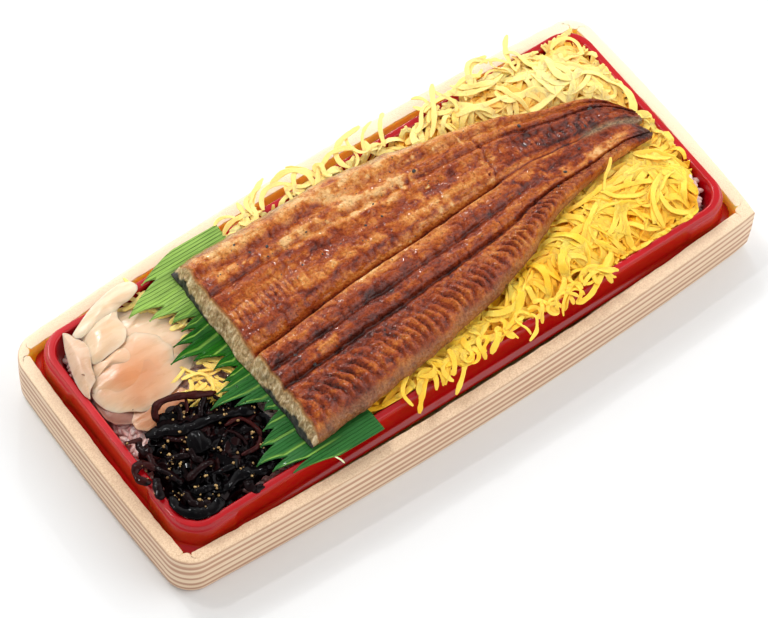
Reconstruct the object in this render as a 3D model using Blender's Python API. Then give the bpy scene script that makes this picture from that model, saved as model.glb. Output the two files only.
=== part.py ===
"""Grilled eel on rice in its box: a foam frame with a red tray, rice, shredded egg, an opened
grilled eel, a cut leaf, pickled ginger and simmered kelp.

Lengths below are in millimetres and go into the meshes in metres. The long side runs along X,
the tail of the eel points to +X, and the origin is the middle of the box's underside.
"""

import math

import bpy
import numpy as np

MM = 0.001
GAP = 0.4

# Frame: the outer size of the foam frame at its corners, and how far each side bows outwards.
BOX_LENGTH = 250.0
BOX_WIDTH = 105.6
BOX_HEIGHT = 23.0
BOX_WALL = 4.9
BOX_FLOOR = 1.2
BOX_CORNER = 9.0
BOX_FOOT_INSET = 1.2
LONG_BOW = 4.7
SHORT_BOW = 1.4
SLIT_DEPTH = 2.2
TAB_HALF = 1.5

# Tray: half length and half width at the rim, and the heights of its steps.
RIM_X = 118.0
RIM_Y = 46.2
RIM_Z = 29.8
RIM_CORNER = 10.8
RIM_BAND = 2.2
LIP_Z = 28.0
STEP_OUT = 1.1
SKIRT_Z = 19.5
FLANGE_X = 120.2
FLANGE_Y = 48.1
FLANGE_BOW = 1.4
FLANGE_Z = 18.5
FLOOR_X = 108.5
FLOOR_Y = 37.0
TRAY_FLOOR_Z = 2.2
SHEET = 0.8
JOG_X = 98.4
JOG_Y = 24.0
JOG_DEPTH = 0.7
JOG_RUN = 1.5

# Rice bed.
RICE_X = 112.3
RICE_Y = 40.8
RICE_EDGE_Z = 19.5
RICE_SHOULDER_Z = 22.5
RICE_TOP_Z = 23.5
SHOULDER_IN = 3.6
PLATEAU_IN = 13.5
GRAIN_LENGTH = 6.0
GRAIN_WIDTH = 2.3

# Shredded egg.
EGG_LEFT = -63.0
EGG_RIGHT = 112.6
EGG_WIDE = 42.4
EGG_CORNER = 17.0
EGG_TOP_Z = 29.0
EGG_MOUND = 3.0
STRAND_WIDTH = 2.3
STRAND_THICK = 0.9

# Eel.
EEL_CUT_X = -61.0
EEL_TAIL_X = 111.0
EEL_FOOT_Z = 30.5
EEL_THICK = 10.3
EEL_TAIL_THICK = 4.2
CUT_SLANT = 3.6
GROOVE_DEPTH = 4.6
VALLEY_DEPTH = 1.5

# Leaf.
LEAF_RIGHT = -39.5
LEAF_NEAR = -50.5
LEAF_FAR = 48.5
LEAF_Z = 29.75
LEAF_OVER_RIM_Z = 30.7
LEAF_THICK = 0.36
TEETH = 20

# Ginger.
GINGER_MIDDLE = (-96.0, 27.0)
GINGER_SPREAD = 18.0
GINGER_RISE = 3.4
SLICE_THICK = 0.8
SLICE_STEP = 1.25

# Kelp.
KELP_MIDDLE = (-90.0, -20.0)
KELP_EDGE = ((-100, -1), (-90, 1), (-79, -4), (-70, -12), (-66.5, -24), (-70, -35), (-81, -39.6),
             (-91, -39.2), (-101, -39.4), (-108.2, -37.2), (-111.4, -27), (-111.6, -13), (-108.6, -6.4))
KELP_TOP_Z = 29.6
KELP_STRIPS = 9
SEEDS = 8


def clear_scene():
    for thing in list(bpy.data.objects):
        bpy.data.objects.remove(thing, do_unlink=True)


def plain_material(name, colour, roughness, metallic=0.0):
    material = bpy.data.materials.new(name)
    material.use_nodes = True
    shader = material.node_tree.nodes["Principled BSDF"]
    shader.inputs["Base Color"].default_value = (*colour, 1.0)
    shader.inputs["Roughness"].default_value = roughness
    shader.inputs["Metallic"].default_value = metallic
    material.diffuse_color = (*colour, 1.0)
    return material


def add_object(name, points, faces, material=None):
    """A mesh object from points in millimetres; every face is split into triangles."""
    mesh = bpy.data.meshes.new(name)
    scaled = [tuple(float(c) * MM for c in point) for point in points]
    mesh.from_pydata(scaled, [], [tuple(int(i) for i in face) for face in faces])
    mesh.validate()
    thing = bpy.data.objects.new(name, mesh)
    bpy.context.scene.collection.objects.link(thing)
    if material:
        mesh.materials.append(material)
    return thing


# Outlines

def outline(half_x, half_y, corner, long_side, short_side, corner_steps):
    """Plan of a rounded rectangle, anticlockwise from its near side. Each side is a list of pairs:
    how far along the side a point lies, and how far inwards it is set."""
    points = []
    for quarter in range(4):
        along_x = quarter % 2 == 0
        reach, across = (half_x, half_y) if along_x else (half_y, half_x)
        stations = long_side if along_x else short_side
        stretch = min(1.0, (reach - corner) / stations[-1][0])
        local = [(along * stretch, inward - across) for along, inward in stations]
        for step in range(corner_steps + 1):
            angle = -math.pi / 2 + step * math.pi / 2 / corner_steps
            local.append((reach - corner + corner * math.cos(angle),
                          -across + corner + corner * math.sin(angle)))
        c, s = math.cos(quarter * math.pi / 2), math.sin(quarter * math.pi / 2)
        points += [(x * c - y * s, x * s + y * c) for x, y in local]
    return np.array(points)


def ring(half_x, half_y, corner, z, jog=0.0, bow=0.0):
    """A ring of the tray: the middle stretch of each side steps in by jog, and the long sides bow."""
    def side(end):
        return [(-end - JOG_RUN, 0.0), (-end + JOG_RUN, jog), (0.0, jog),
                (end - JOG_RUN, jog), (end + JOG_RUN, 0.0)]

    plan = outline(half_x, half_y, corner, side(JOG_X), side(JOG_Y), 6)
    plan[:, 1] += bow * plan[:, 1] / half_y * (1 - (plan[:, 0] / half_x) ** 2)
    return np.column_stack([plan, np.full(len(plan), z)])


def food_ring(half_x, half_y, corner, height, middle=0.0, long_points=7, short_points=3):
    """A ring of a food bed, with its height from a number or from a function of x and y."""
    long_side = [(along, 0.0) for along in np.linspace(-1, 1, long_points + 2)[1:-1] * half_x]
    short_side = [(along, 0.0) for along in np.linspace(-1, 1, short_points + 2)[1:-1] * half_y]
    plan = outline(half_x, half_y, corner, long_side, short_side, 4)
    plan[:, 0] += middle
    z = height(plan[:, 0], plan[:, 1]) if callable(height) else np.full(len(plan), height)
    return np.column_stack([plan, z])


def bowed(points, half_y):
    """The frame's bow: long sides move out in Y, short sides in X."""
    x, y = points[:, 0].copy(), points[:, 1].copy()
    points[:, 1] = y + LONG_BOW * y / half_y * (1 - (x / (BOX_LENGTH / 2)) ** 2)
    points[:, 0] = x + SHORT_BOW * x / (BOX_LENGTH / 2) * (1 - (y / (BOX_WIDTH / 2)) ** 2)
    return points


def frame_outline(offset, z, inner):
    """Outline of the frame, offset inwards. The inner one has two slits beside a small tab at each
    corner, where the foam was cut through to be folded; the outer one has a round corner."""
    half_x = BOX_LENGTH / 2 - offset
    half_y = BOX_WIDTH / 2 - offset
    points = []
    for side in range(4):
        quarter = side * math.pi / 2
        reach, across = (half_x, half_y) if side % 2 == 0 else (half_y, half_x)
        count = 9 if side % 2 == 0 else 3
        end = reach - (2.0 if inner else BOX_CORNER)
        local = [(along, -across) for along in np.linspace(-end, end, count)[1:-1]]
        if inner:
            tip = SLIT_DEPTH - 0.6 * offset + 0.6 * BOX_WALL
            local += [(reach - 2.0, -across), (reach - 1.1, -across - tip), (reach - TAB_HALF, -across),
                      (reach - TAB_HALF / 2, -across + TAB_HALF / 2), (reach, -across + TAB_HALF),
                      (reach + tip, -across + 1.1), (reach, -across + 2.0)]
        else:
            for step in range(7):
                angle = -math.pi / 2 + step * math.pi / 12
                local.append((reach - BOX_CORNER + BOX_CORNER * math.cos(angle),
                              -across + BOX_CORNER + BOX_CORNER * math.sin(angle)))
        c, s = math.cos(quarter), math.sin(quarter)
        points += [(x * c - y * s, x * s + y * c) for x, y in local]
    flat = bowed(np.array(points), half_y)
    return np.column_stack([flat, np.full(len(flat), z)])


def loft(rings, flip=False):
    """Skin through rings of equal count, with the first and the last ring closed by a face."""
    count = len(rings[0])
    points = np.vstack(rings)
    faces = []
    for k in range(len(rings) - 1):
        for i in range(count):
            j = (i + 1) % count
            faces.append((k * count + i, k * count + j, (k + 1) * count + j, (k + 1) * count + i))
    last = (len(rings) - 1) * count
    faces.append(tuple(range(count))[::-1])
    faces.append(tuple(range(last, last + count)))
    if flip:
        faces = [face[::-1] for face in faces]
    return points, faces


def from_polyline(values, table):
    """Straight-line interpolation in a short list of (place, size) pairs."""
    places, sizes = zip(*table)
    return np.interp(values, places, sizes)


# Frame and tray

def make_box():
    top = BOX_HEIGHT
    rings = [
        frame_outline(BOX_FOOT_INSET, 0.0, False),
        frame_outline(0.3, 3.0, False),
        frame_outline(0.0, top - 0.4, False),
        frame_outline(0.4, top, False),
        frame_outline(BOX_WALL - 0.3, top, True),
        frame_outline(BOX_WALL, top - 0.3, True),
        frame_outline(BOX_WALL, BOX_FLOOR, True),
    ]
    points, faces = loft(rings)
    add_object("box", points, faces, plain_material("frame_foam", (0.86, 0.72, 0.52), 0.7))


def tray_inside(z):
    """Half length and half width of the tray's inner wall at a height."""
    share = (z - TRAY_FLOOR_Z) / (RIM_Z - 0.6 - TRAY_FLOOR_Z)
    x = FLOOR_X + (RIM_X - RIM_BAND - 0.5 - FLOOR_X) * share
    y = FLOOR_Y + (RIM_Y - RIM_BAND - 0.5 - FLOOR_Y) * share
    return x, y


def make_tray():
    wall_top = tray_inside(RIM_Z - 0.6)
    rings = [
        ring(FLOOR_X, FLOOR_Y, 7.5, TRAY_FLOOR_Z),
        ring(*wall_top, 8.6, RIM_Z - 0.6),
        ring(RIM_X - RIM_BAND, RIM_Y - RIM_BAND, 9.0, RIM_Z),
        ring(RIM_X, RIM_Y, RIM_CORNER, RIM_Z),
        ring(RIM_X + 0.4, RIM_Y + 0.4, RIM_CORNER, LIP_Z),
        ring(RIM_X + STEP_OUT, RIM_Y + STEP_OUT, 11.5, LIP_Z - 0.3, jog=JOG_DEPTH),
        ring(RIM_X + 1.6, RIM_Y + 1.6, 12.0, SKIRT_Z, jog=JOG_DEPTH),
        ring(FLANGE_X, FLANGE_Y, 6.5, FLANGE_Z, bow=FLANGE_BOW),
        ring(FLANGE_X, FLANGE_Y, 6.5, FLANGE_Z - SHEET, bow=FLANGE_BOW),
        ring(RIM_X + 0.7, RIM_Y + 0.7, 11.0, SKIRT_Z - 1.2, jog=JOG_DEPTH),
        ring(RIM_X + 0.2, RIM_Y + 0.2, 10.8, LIP_Z - 1.1, jog=JOG_DEPTH),
        ring(RIM_X - 0.5, RIM_Y - 0.5, 10.4, RIM_Z - SHEET),
        ring(RIM_X - 1.5, RIM_Y - 1.5, 9.6, RIM_Z - SHEET),
        ring(FLOOR_X + 1.2, FLOOR_Y + 1.1, 8.2, TRAY_FLOOR_Z + 0.4),
        ring(FLOOR_X + 0.4, FLOOR_Y + 0.4, 7.6, BOX_FLOOR + 0.3),
    ]
    points, faces = loft(rings, flip=True)
    add_object("tray", points, faces, plain_material("tray_plastic", (0.55, 0.01, 0.01), 0.18))


# Small pieces that are fused on

def strip(path, width, thick, roll=0.0):
    """A flat strip along a path: a rectangle carried along it, rolled about its own length."""
    path = np.asarray(path, float)
    ahead = np.gradient(path, axis=0)
    ahead /= np.linalg.norm(ahead, axis=1)[:, None]
    aside = np.cross(ahead, (0.0, 0.0, 1.0))
    aside /= np.linalg.norm(aside, axis=1)[:, None]
    upward = np.cross(aside, ahead)
    turn = np.linspace(0.0, roll, len(path))[:, None]
    across = aside * np.cos(turn) + upward * np.sin(turn)
    over = upward * np.cos(turn) - aside * np.sin(turn)
    taper = np.where((np.arange(len(path)) == 0) | (np.arange(len(path)) == len(path) - 1), 0.7, 1.0)
    wide = across * width / 2 * taper[:, None]
    high = over * thick / 2
    corners = np.stack([path + wide - high, path + wide + high, path - wide + high, path - wide - high], 1)
    points = corners.reshape(-1, 3)
    faces = []
    for k in range(len(path) - 1):
        for i in range(4):
            j = (i + 1) % 4
            faces.append((4 * k + i, 4 * k + 4 + i, 4 * k + 4 + j, 4 * k + j))
    last = 4 * (len(path) - 1)
    faces += [(0, 1, 2, 3), (last + 3, last + 2, last + 1, last)]
    return points, faces


def grain(place, heading, length, width, dip=0.0, sides=5):
    """A closed low ellipsoid: rings round its long axis, which points along heading and dips."""
    axis = np.array([math.cos(heading) * math.cos(dip), math.sin(heading) * math.cos(dip), -math.sin(dip)])
    aside = np.array([-math.sin(heading), math.cos(heading), 0.0])
    over = np.cross(axis, aside)
    points = [place - axis * length / 2]
    for share in (-0.27, 0.27):
        for i in range(sides):
            angle = 2 * math.pi * i / sides
            points.append(place + axis * length * share
                          + (aside * math.cos(angle) + over * math.sin(angle)) * width / 2)
    points.append(place + axis * length / 2)
    end = len(points) - 1
    faces = []
    for i in range(sides):
        j = (i + 1) % sides
        faces.append((0, 1 + j, 1 + i))
        faces.append((1 + i, 1 + j, 1 + sides + j, 1 + sides + i))
        faces.append((end, 1 + sides + i, 1 + sides + j))
    return np.array(points), faces


def islands(mesh):
    """Lists of face numbers, one for each shell of a mesh; faces belong together where they share
    an edge."""
    owner = list(range(len(mesh.polygons)))

    def top(i):
        while owner[i] != i:
            owner[i] = owner[owner[i]]
            i = owner[i]
        return i

    first_on = {}
    for polygon in mesh.polygons:
        for edge in polygon.edge_keys:
            owner[top(polygon.index)] = top(first_on.setdefault(edge, polygon.index))
    groups = {}
    for polygon in mesh.polygons:
        groups.setdefault(top(polygon.index), []).append(polygon.index)
    return list(groups.values())


def shell_volume(mesh, group):
    total = 0.0
    for index in group:
        corners = [mesh.vertices[v].co for v in mesh.polygons[index].vertices]
        for k in range(1, len(corners) - 1):
            total += corners[0].dot(corners[k].cross(corners[k + 1])) / 6
    return total


def fuse(core, pieces, solver="EXACT"):
    """One Boolean union of the core with all pieces; only its largest shell is kept, which drops
    loose scraps and fills hollows that the fusing sealed."""
    holder = bpy.data.collections.new(core.name + "_pieces")
    bpy.context.scene.collection.children.link(holder)
    for number, (points, faces) in enumerate(pieces):
        thing = add_object(f"{core.name}_piece_{number}", points, faces)
        bpy.context.scene.collection.objects.unlink(thing)
        holder.objects.link(thing)
    join = core.modifiers.new("join", "BOOLEAN")
    join.operation = "UNION"
    join.solver = solver
    join.operand_type = "COLLECTION"
    join.collection = holder
    bpy.context.view_layer.update()
    graph = bpy.context.evaluated_depsgraph_get()
    mesh = bpy.data.meshes.new_from_object(core.evaluated_get(graph))
    core.modifiers.remove(join)
    for thing in list(holder.objects):
        bpy.data.objects.remove(thing, do_unlink=True)
    bpy.data.collections.remove(holder)
    groups = islands(mesh)
    keep = max(groups, key=lambda group: shell_volume(mesh, group))
    points = np.array([v.co for v in mesh.vertices]) / MM
    faces = [tuple(mesh.polygons[i].vertices) for i in keep]
    used = sorted({v for face in faces for v in face})
    place = {v: i for i, v in enumerate(used)}
    material = core.data.materials[0]
    name = core.name
    bpy.data.objects.remove(core, do_unlink=True)
    bpy.data.meshes.remove(mesh)
    return add_object(name, points[used], [tuple(place[v] for v in face) for face in faces], material)


# Rice

def rice_height(x, y):
    """Height of the rice bed: it falls away near the tray's wall."""
    inward = np.minimum(RICE_X - np.abs(x), RICE_Y - np.abs(y))
    steps = ((0, RICE_EDGE_Z), (SHOULDER_IN, RICE_SHOULDER_Z), (PLATEAU_IN, RICE_TOP_Z))
    return from_polyline(inward, steps)


def make_rice(rng):
    rings = [
        food_ring(FLOOR_X - GAP, FLOOR_Y - GAP, 7.2, TRAY_FLOOR_Z + GAP),
        food_ring(RICE_X, RICE_Y, 8.3, RICE_EDGE_Z),
        food_ring(RICE_X - SHOULDER_IN, RICE_Y - SHOULDER_IN, 9.0, RICE_SHOULDER_Z),
        food_ring(RICE_X - PLATEAU_IN, RICE_Y - PLATEAU_IN, 10.0, RICE_TOP_Z),
    ]
    points, faces = loft(rings)
    core = add_object("rice", points, faces, plain_material("rice_cooked", (0.86, 0.80, 0.74), 0.4))
    grains = []
    for side in (-1, 1):
        for x, y in ((110.0, 33.6), (108.2, 37.0), (104.4, 38.9)):
            place = np.array([x, side * y, rice_height(x, y) + 0.5])
            heading = side * math.atan2(x - 95.0, 25.0 - y)
            grains.append(grain(place, heading, GRAIN_LENGTH, GRAIN_WIDTH))
    for y in np.linspace(-1.0, 34.0, 12):
        x = -109.2 + rng.uniform(-0.5, 0.8)
        place = np.array([x, y, rice_height(x, y) + 0.4])
        grains.append(grain(place, rng.uniform(1.0, 2.1), GRAIN_LENGTH, GRAIN_WIDTH))
    fuse(core, grains)


# Eel

FAR_EDGE = ((-64, 40.5), (-55, 41.6), (-9, 41.8), (3, 41.2), (24, 38.2), (46, 33.2), (66, 28.4),
            (82, 21.5), (96, 17.5), (104, 13.4), (109, 6.5), (111.5, 1.0))
NEAR_EDGE = ((-64, -43.4), (-32, -40.6), (-5, -37.2), (23, -31.8), (39, -26.8), (48, -23.4),
             (59, -17.6), (75, -13.6), (89, -11.2), (101, -10.2), (111.5, -10.6))
GROOVE = ((-64, -5.4), (-37, -2.6), (-13, 0.2), (14, 0.9), (53, 2.4), (80, 0.4), (111.5, -4.0))


def eel_covers(x, y, margin):
    """True where the eel lies above this place, with a margin round it."""
    over = (x > EEL_CUT_X - CUT_SLANT - margin) & (x < EEL_TAIL_X + margin)
    return over & (y < from_polyline(x, FAR_EDGE) + margin) & (y > from_polyline(x, NEAR_EDGE) - margin)


def eel_thickness(along):
    """Height of the fillet from its cut end (0) to its tail (1)."""
    return EEL_TAIL_THICK + (EEL_THICK - EEL_TAIL_THICK) * (1 - along ** 1.6)


def eel_relief(share, thick):
    """Height across one half, from its outer edge (0) to the middle groove (1): a rounded flank, a
    shallow valley along the middle and the drop into the groove."""
    flank = np.sin(np.clip(share / 0.2, 0, 1) * math.pi / 2) ** 0.75
    valley = VALLEY_DEPTH * np.exp(-((share - 0.55) / 0.13) ** 2)
    drop = GROOVE_DEPTH * np.clip((share - 0.86) / 0.14, 0, 1) ** 1.5
    return thick * (0.16 + 0.84 * flank) - (valley + drop) * thick / EEL_THICK


def make_eel():
    shares = np.array([0.0, 0.06, 0.18, 0.36, 0.55, 0.74, 0.88, 1.0])
    along = np.linspace(0.0, 1.0, 27)
    upper, lower = [], []
    for u in along:
        x = EEL_CUT_X + (EEL_TAIL_X - EEL_CUT_X) * u
        near, middle, far = (float(from_polyline(x, line)) for line in (NEAR_EDGE, GROOVE, FAR_EDGE))
        y = np.concatenate([near + (middle - near) * shares, far + (middle - far) * shares[-2::-1]])
        thick = eel_thickness(u) * (1 - 0.35 * max(0.0, (u - 0.93) / 0.07))
        relief = eel_relief(shares, thick)
        height = np.concatenate([relief, relief[-2::-1]])
        edge = np.concatenate([shares, shares[-2::-1]])
        foot = EEL_FOOT_Z + 1.3 * np.clip(1 - edge / 0.12, 0, 1)
        slant = CUT_SLANT * max(0.0, 1 - u / 0.12)
        upper.append(np.column_stack([np.full(len(y), x), y, foot + height]))
        lower.append(np.column_stack([np.full(len(y), x - slant), y, foot]))
    rows, columns = len(along), len(upper[0])
    points = np.vstack(upper + lower)
    base = rows * columns
    faces = []
    for i in range(rows - 1):
        for j in range(columns - 1):
            a, b, c, d = (i * columns + j, (i + 1) * columns + j,
                          (i + 1) * columns + j + 1, i * columns + j + 1)
            faces += [(a, b, c), (a, c, d), (base + c, base + b, base + a), (base + d, base + c, base + a)]
    for i in range(rows - 1):
        near_a, near_b = i * columns, (i + 1) * columns
        far_a, far_b = near_a + columns - 1, near_b + columns - 1
        faces += [(near_b, near_a, base + near_a, base + near_b), (far_a, far_b, base + far_b, base + far_a)]
    for j in range(columns - 1):
        tail = (rows - 1) * columns
        faces += [(j, j + 1, base + j + 1, base + j),
                  (tail + j + 1, tail + j, base + tail + j, base + tail + j + 1)]
    add_object("eel", points, faces, plain_material("eel_grilled", (0.32, 0.10, 0.03), 0.3))


# Leaf

def leaf_height(x, y):
    """The leaf lies flat under the eel and lifts over the tray's rim at both ends."""
    lift = np.clip((np.abs(y) - 40.5) / 3.0, 0, 1)
    tips = 0.7 * np.clip((-73.0 - x) / 8.0, 0, 1)
    return LEAF_Z + tips + (LEAF_OVER_RIM_Z - LEAF_Z) * lift


def leaf_tip(tooth):
    """How far a tooth reaches towards -X: the teeth rise and fall in four peaks of five."""
    peak = (-74.0, -80.0, -85.5, -78.5, -73.0)
    return peak[tooth % 5]


def make_leaf():
    """Two like faces over the same plan: each tooth is a band of rows that narrows to its tip."""
    edges = np.linspace(LEAF_FAR, LEAF_NEAR, TEETH + 1)
    root = -67.0
    columns = np.array([LEAF_RIGHT, -54.0, root])
    plan = [(x, y) for y in edges for x in columns]
    index = {(i, j): i * 3 + j for i in range(TEETH + 1) for j in range(3)}
    plan_faces = []
    rim = []
    for tooth in range(TEETH):
        tip_x = leaf_tip(tooth)
        y_middle = (edges[tooth] + edges[tooth + 1]) / 2
        half = (edges[tooth] - edges[tooth + 1]) / 2
        waist_x = root + (tip_x - root) * 0.55
        first = len(plan)
        plan += [(waist_x, y_middle - 1.2 + half * 0.62), (waist_x, y_middle - 1.2 - half * 0.62),
                 (tip_x, y_middle - 2.6)]
        for j in range(2):
            a, b = index[tooth, j], index[tooth, j + 1]
            c, d = index[tooth + 1, j + 1], index[tooth + 1, j]
            plan_faces += [(a, b, c), (a, c, d)]
        a, b = index[tooth, 2], index[tooth + 1, 2]
        plan_faces += [(a, first, first + 1), (a, first + 1, b), (first, first + 2, first + 1)]
        rim += [a, first, first + 2, first + 1]
    rim.append(index[TEETH, 2])
    rim += [index[TEETH, 1], index[TEETH, 0]]
    rim += [index[i, 0] for i in range(TEETH - 1, -1, -1)]
    rim.append(index[0, 1])
    flat = np.array(plan)
    z = leaf_height(flat[:, 0], flat[:, 1])
    top = np.column_stack([flat, z + LEAF_THICK / 2])
    bottom = np.column_stack([flat, z - LEAF_THICK / 2])
    base = len(flat)
    faces = list(plan_faces) + [(base + c, base + b, base + a) for a, b, c in plan_faces]
    for k, a in enumerate(rim):
        b = rim[(k + 1) % len(rim)]
        faces.append((b, a, base + a, base + b))
    material = plain_material("leaf_green", (0.05, 0.30, 0.03), 0.35)
    add_object("leaf", np.vstack([top, bottom]), faces, material)


# Egg

def egg_height(x, y):
    """Top of the heap of shreds: level under the eel and the leaf, a mound beside the eel, and lower
    along the tray's wall, with gentle lumps."""
    outside = np.maximum(y - from_polyline(x, FAR_EDGE), from_polyline(x, NEAR_EDGE) - y)
    outside = np.maximum(outside, x - EEL_TAIL_X) * (x > LEAF_RIGHT + 3.0)
    beside = np.clip((outside - 1.0) / 6.0, 0, 1)
    inward = np.minimum(EGG_RIGHT - x, EGG_WIDE - np.abs(y))
    wall = 1 - np.clip(inward / 7.0, 0, 1)
    lumps = 0.5 * np.sin(0.42 * x + 0.2 * y) * np.sin(0.5 * y - 0.15 * x)
    return EGG_TOP_Z + beside * (EGG_MOUND * (1 - wall) + lumps) - 1.2 * wall * (x > 0)


def egg_ring(inset, height):
    half_x = (EGG_RIGHT - EGG_LEFT) / 2 - inset
    corner = max(2.0, EGG_CORNER - inset)
    middle = (EGG_RIGHT + EGG_LEFT) / 2
    return food_ring(half_x, EGG_WIDE - inset, corner, height, middle, long_points=11, short_points=4)


def wander(rng, start, heading, length, bend, steps):
    """Plan of a curling strand: the heading swings smoothly as it goes."""
    stride = length / (steps - 1)
    swing = bend * np.sin(np.linspace(0, rng.uniform(1.5, 4.0), steps) + rng.uniform(0, 6.28))
    headings = heading + swing
    moves = np.column_stack([np.cos(headings), np.sin(headings)]) * stride
    plan = np.array(start) + np.cumsum(moves, axis=0) - moves.sum(axis=0) / 2
    return plan


def over_rim(x, y, z):
    """Lifts a path over the tray's rim where it crosses it."""
    out = np.maximum(np.abs(x) - (RIM_X - 7.0), np.abs(y) - (RIM_Y - 6.5))
    lift = np.clip(out / 3.0, 0, 1)
    return np.maximum(z, z + (RIM_Z + 1.0 + STRAND_THICK / 2 - z) * lift)


def strand_paths(rng):
    """Strands of egg where the heap shows: beside the eel, along the far edge and at the right."""
    zones = ((10, (62, 106), (-38, -14), 30), (7, (18, 62), (-42, -27), 28), (4, (-26, 20), (-46, -42), 20),
             (6, (60, 108), (22, 42), 30), (3, (100, 111), (-22, 22), 26), (7, (-32, 60), (43, 48), 22))
    for count, x_range, y_range, longest in zones:
        made = 0
        tries = 0
        while made < count and tries < 400:
            tries += 1
            start = (rng.uniform(*x_range), rng.uniform(*y_range))
            heading = rng.uniform(-0.6, 2.4) if x_range[0] > 50 else rng.uniform(-0.5, 0.5)
            bend = 0.8 if longest > 25 else 0.35
            plan = wander(rng, start, heading, longest * rng.uniform(0.6, 1.0), bend, 5)
            x, y = plan[:, 0], plan[:, 1]
            if eel_covers(x, y, 1.6).any() or (x < -34).any() or (x > 119).any():
                continue
            if (np.abs(y) > 49.5).any() or ((np.abs(y) > 38) & (x > 100)).any():
                continue
            z = egg_height(x, y) + 0.2 + rng.uniform(0.0, 0.5)
            z = z + 0.9 * np.sin(np.linspace(0, math.pi, len(x))) * rng.uniform(0.3, 1.0)
            made += 1
            yield np.column_stack([x, y, over_rim(x, y, z)]), STRAND_WIDTH * rng.uniform(0.8, 1.15)


def hanging_strands():
    """Strands that hang over the rim beside the eel, and one that lies on the near half of the tail."""
    rim_top = RIM_Z + 1.0
    for x in (-24.0, -13.0, -4.0, 8.0, 30.0, 43.0):
        start = float(from_polyline(x, NEAR_EDGE)) - 1.5
        yield np.array([(x + 5, start, EGG_TOP_Z), (x + 2, start - 2.0, EGG_TOP_Z + 0.4),
                        (x + 1, -43.4, rim_top), (x, -47.2, rim_top), (x - 0.5, -49.6, rim_top - 1.6)]), 2.0
    for x in (-20.0, 8.0, 30.0, 84.0):
        start = max(float(from_polyline(x, FAR_EDGE)) + 0.6, 39.5)
        yield np.array([(x - 6, start, EGG_TOP_Z), (x - 3, start + 0.4, EGG_TOP_Z + 1.0),
                        (x, 44.6, rim_top + 0.2), (x + 3, 47.4, rim_top + 0.2), (x + 7, 47.0, rim_top)]), 2.1
    yield np.array([(66, -36.0, EGG_TOP_Z + 2.4), (74, -29.0, EGG_TOP_Z + 3.2),
                    (79, -21.0, EGG_TOP_Z + 3.6), (84, -15.6, EGG_TOP_Z + 6.5),
                    (87.5, -12.4, 37.6), (91.5, -8.8, 38.4), (95, -6.2, 38.0)]), 1.9


def make_egg(rng):
    def under(x, y):
        return rice_height(x, y) + GAP + 0.7

    rings = [
        egg_ring(16.0, under),
        egg_ring(6.0, under),
        egg_ring(2.6, under),
        egg_ring(0.5, 25.2),
        egg_ring(0.3, 27.0),
        egg_ring(2.4, egg_height),
        egg_ring(7.0, egg_height),
        egg_ring(12.0, egg_height),
        egg_ring(19.0, egg_height),
        egg_ring(27.0, egg_height),
    ]
    points, faces = loft(rings)
    core = add_object("egg_shreds", points, faces, plain_material("egg_yellow", (0.93, 0.68, 0.16), 0.45))
    pieces = [strip(path, width, STRAND_THICK) for path, width in strand_paths(rng)]
    pieces += [strip(path, width, STRAND_THICK) for path, width in hanging_strands()]
    fuse(core, pieces)


# Ginger

def ginger_floor(x, y):
    """The mound that all slices follow, so that each one lies a step above those under it."""
    away = (x - GINGER_MIDDLE[0]) ** 2 + (y - GINGER_MIDDLE[1]) ** 2
    return RICE_TOP_Z + 0.9 + GINGER_RISE * np.exp(-away / (2 * GINGER_SPREAD ** 2))


def ginger_slice(name, middle, half, turn, level, sag=(0.0, 0.0), wave=0.06, material=None):
    """A thin oval with a slightly wavy rim that follows the mound at its own level. The sag tilts it
    down along X and Y, in millimetres at its rim."""
    around = np.linspace(0, 2 * math.pi, 18, endpoint=False)
    plan = [np.zeros((1, 2))]
    for share in (0.5, 1.0):
        rim = 1 + wave * share * np.sin(3 * around + level) + wave * share * np.sin(5 * around + 2 * level)
        plan.append(share * rim[:, None] * np.column_stack([half[0] * np.cos(around), half[1] * np.sin(around)]))
    local = np.vstack(plan)
    c, s = math.cos(turn), math.sin(turn)
    x = middle[0] + local[:, 0] * c - local[:, 1] * s
    y = middle[1] + local[:, 0] * s + local[:, 1] * c
    z = ginger_floor(x, y) + level * SLICE_STEP
    z += sag[0] * (x - middle[0]) / half[0] + sag[1] * (y - middle[1]) / half[1]
    thick = np.where(np.arange(len(x)) > 18, 0.6, 1.0) * SLICE_THICK / 2
    top = np.column_stack([x, y, z + thick])
    bottom = np.column_stack([x, y, z - thick])
    base = len(x)
    faces = []
    for i in range(18):
        j = (i + 1) % 18
        faces.append((0, 1 + i, 1 + j))
        faces += [(1 + i, 19 + i, 19 + j), (1 + i, 19 + j, 1 + j)]
    faces += [tuple(base + v for v in face[::-1]) for face in faces]
    for i in range(18):
        j = (i + 1) % 18
        faces.append((19 + j, 19 + i, base + 19 + i, base + 19 + j))
    add_object(name, np.vstack([top, bottom]), faces, material)


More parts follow.
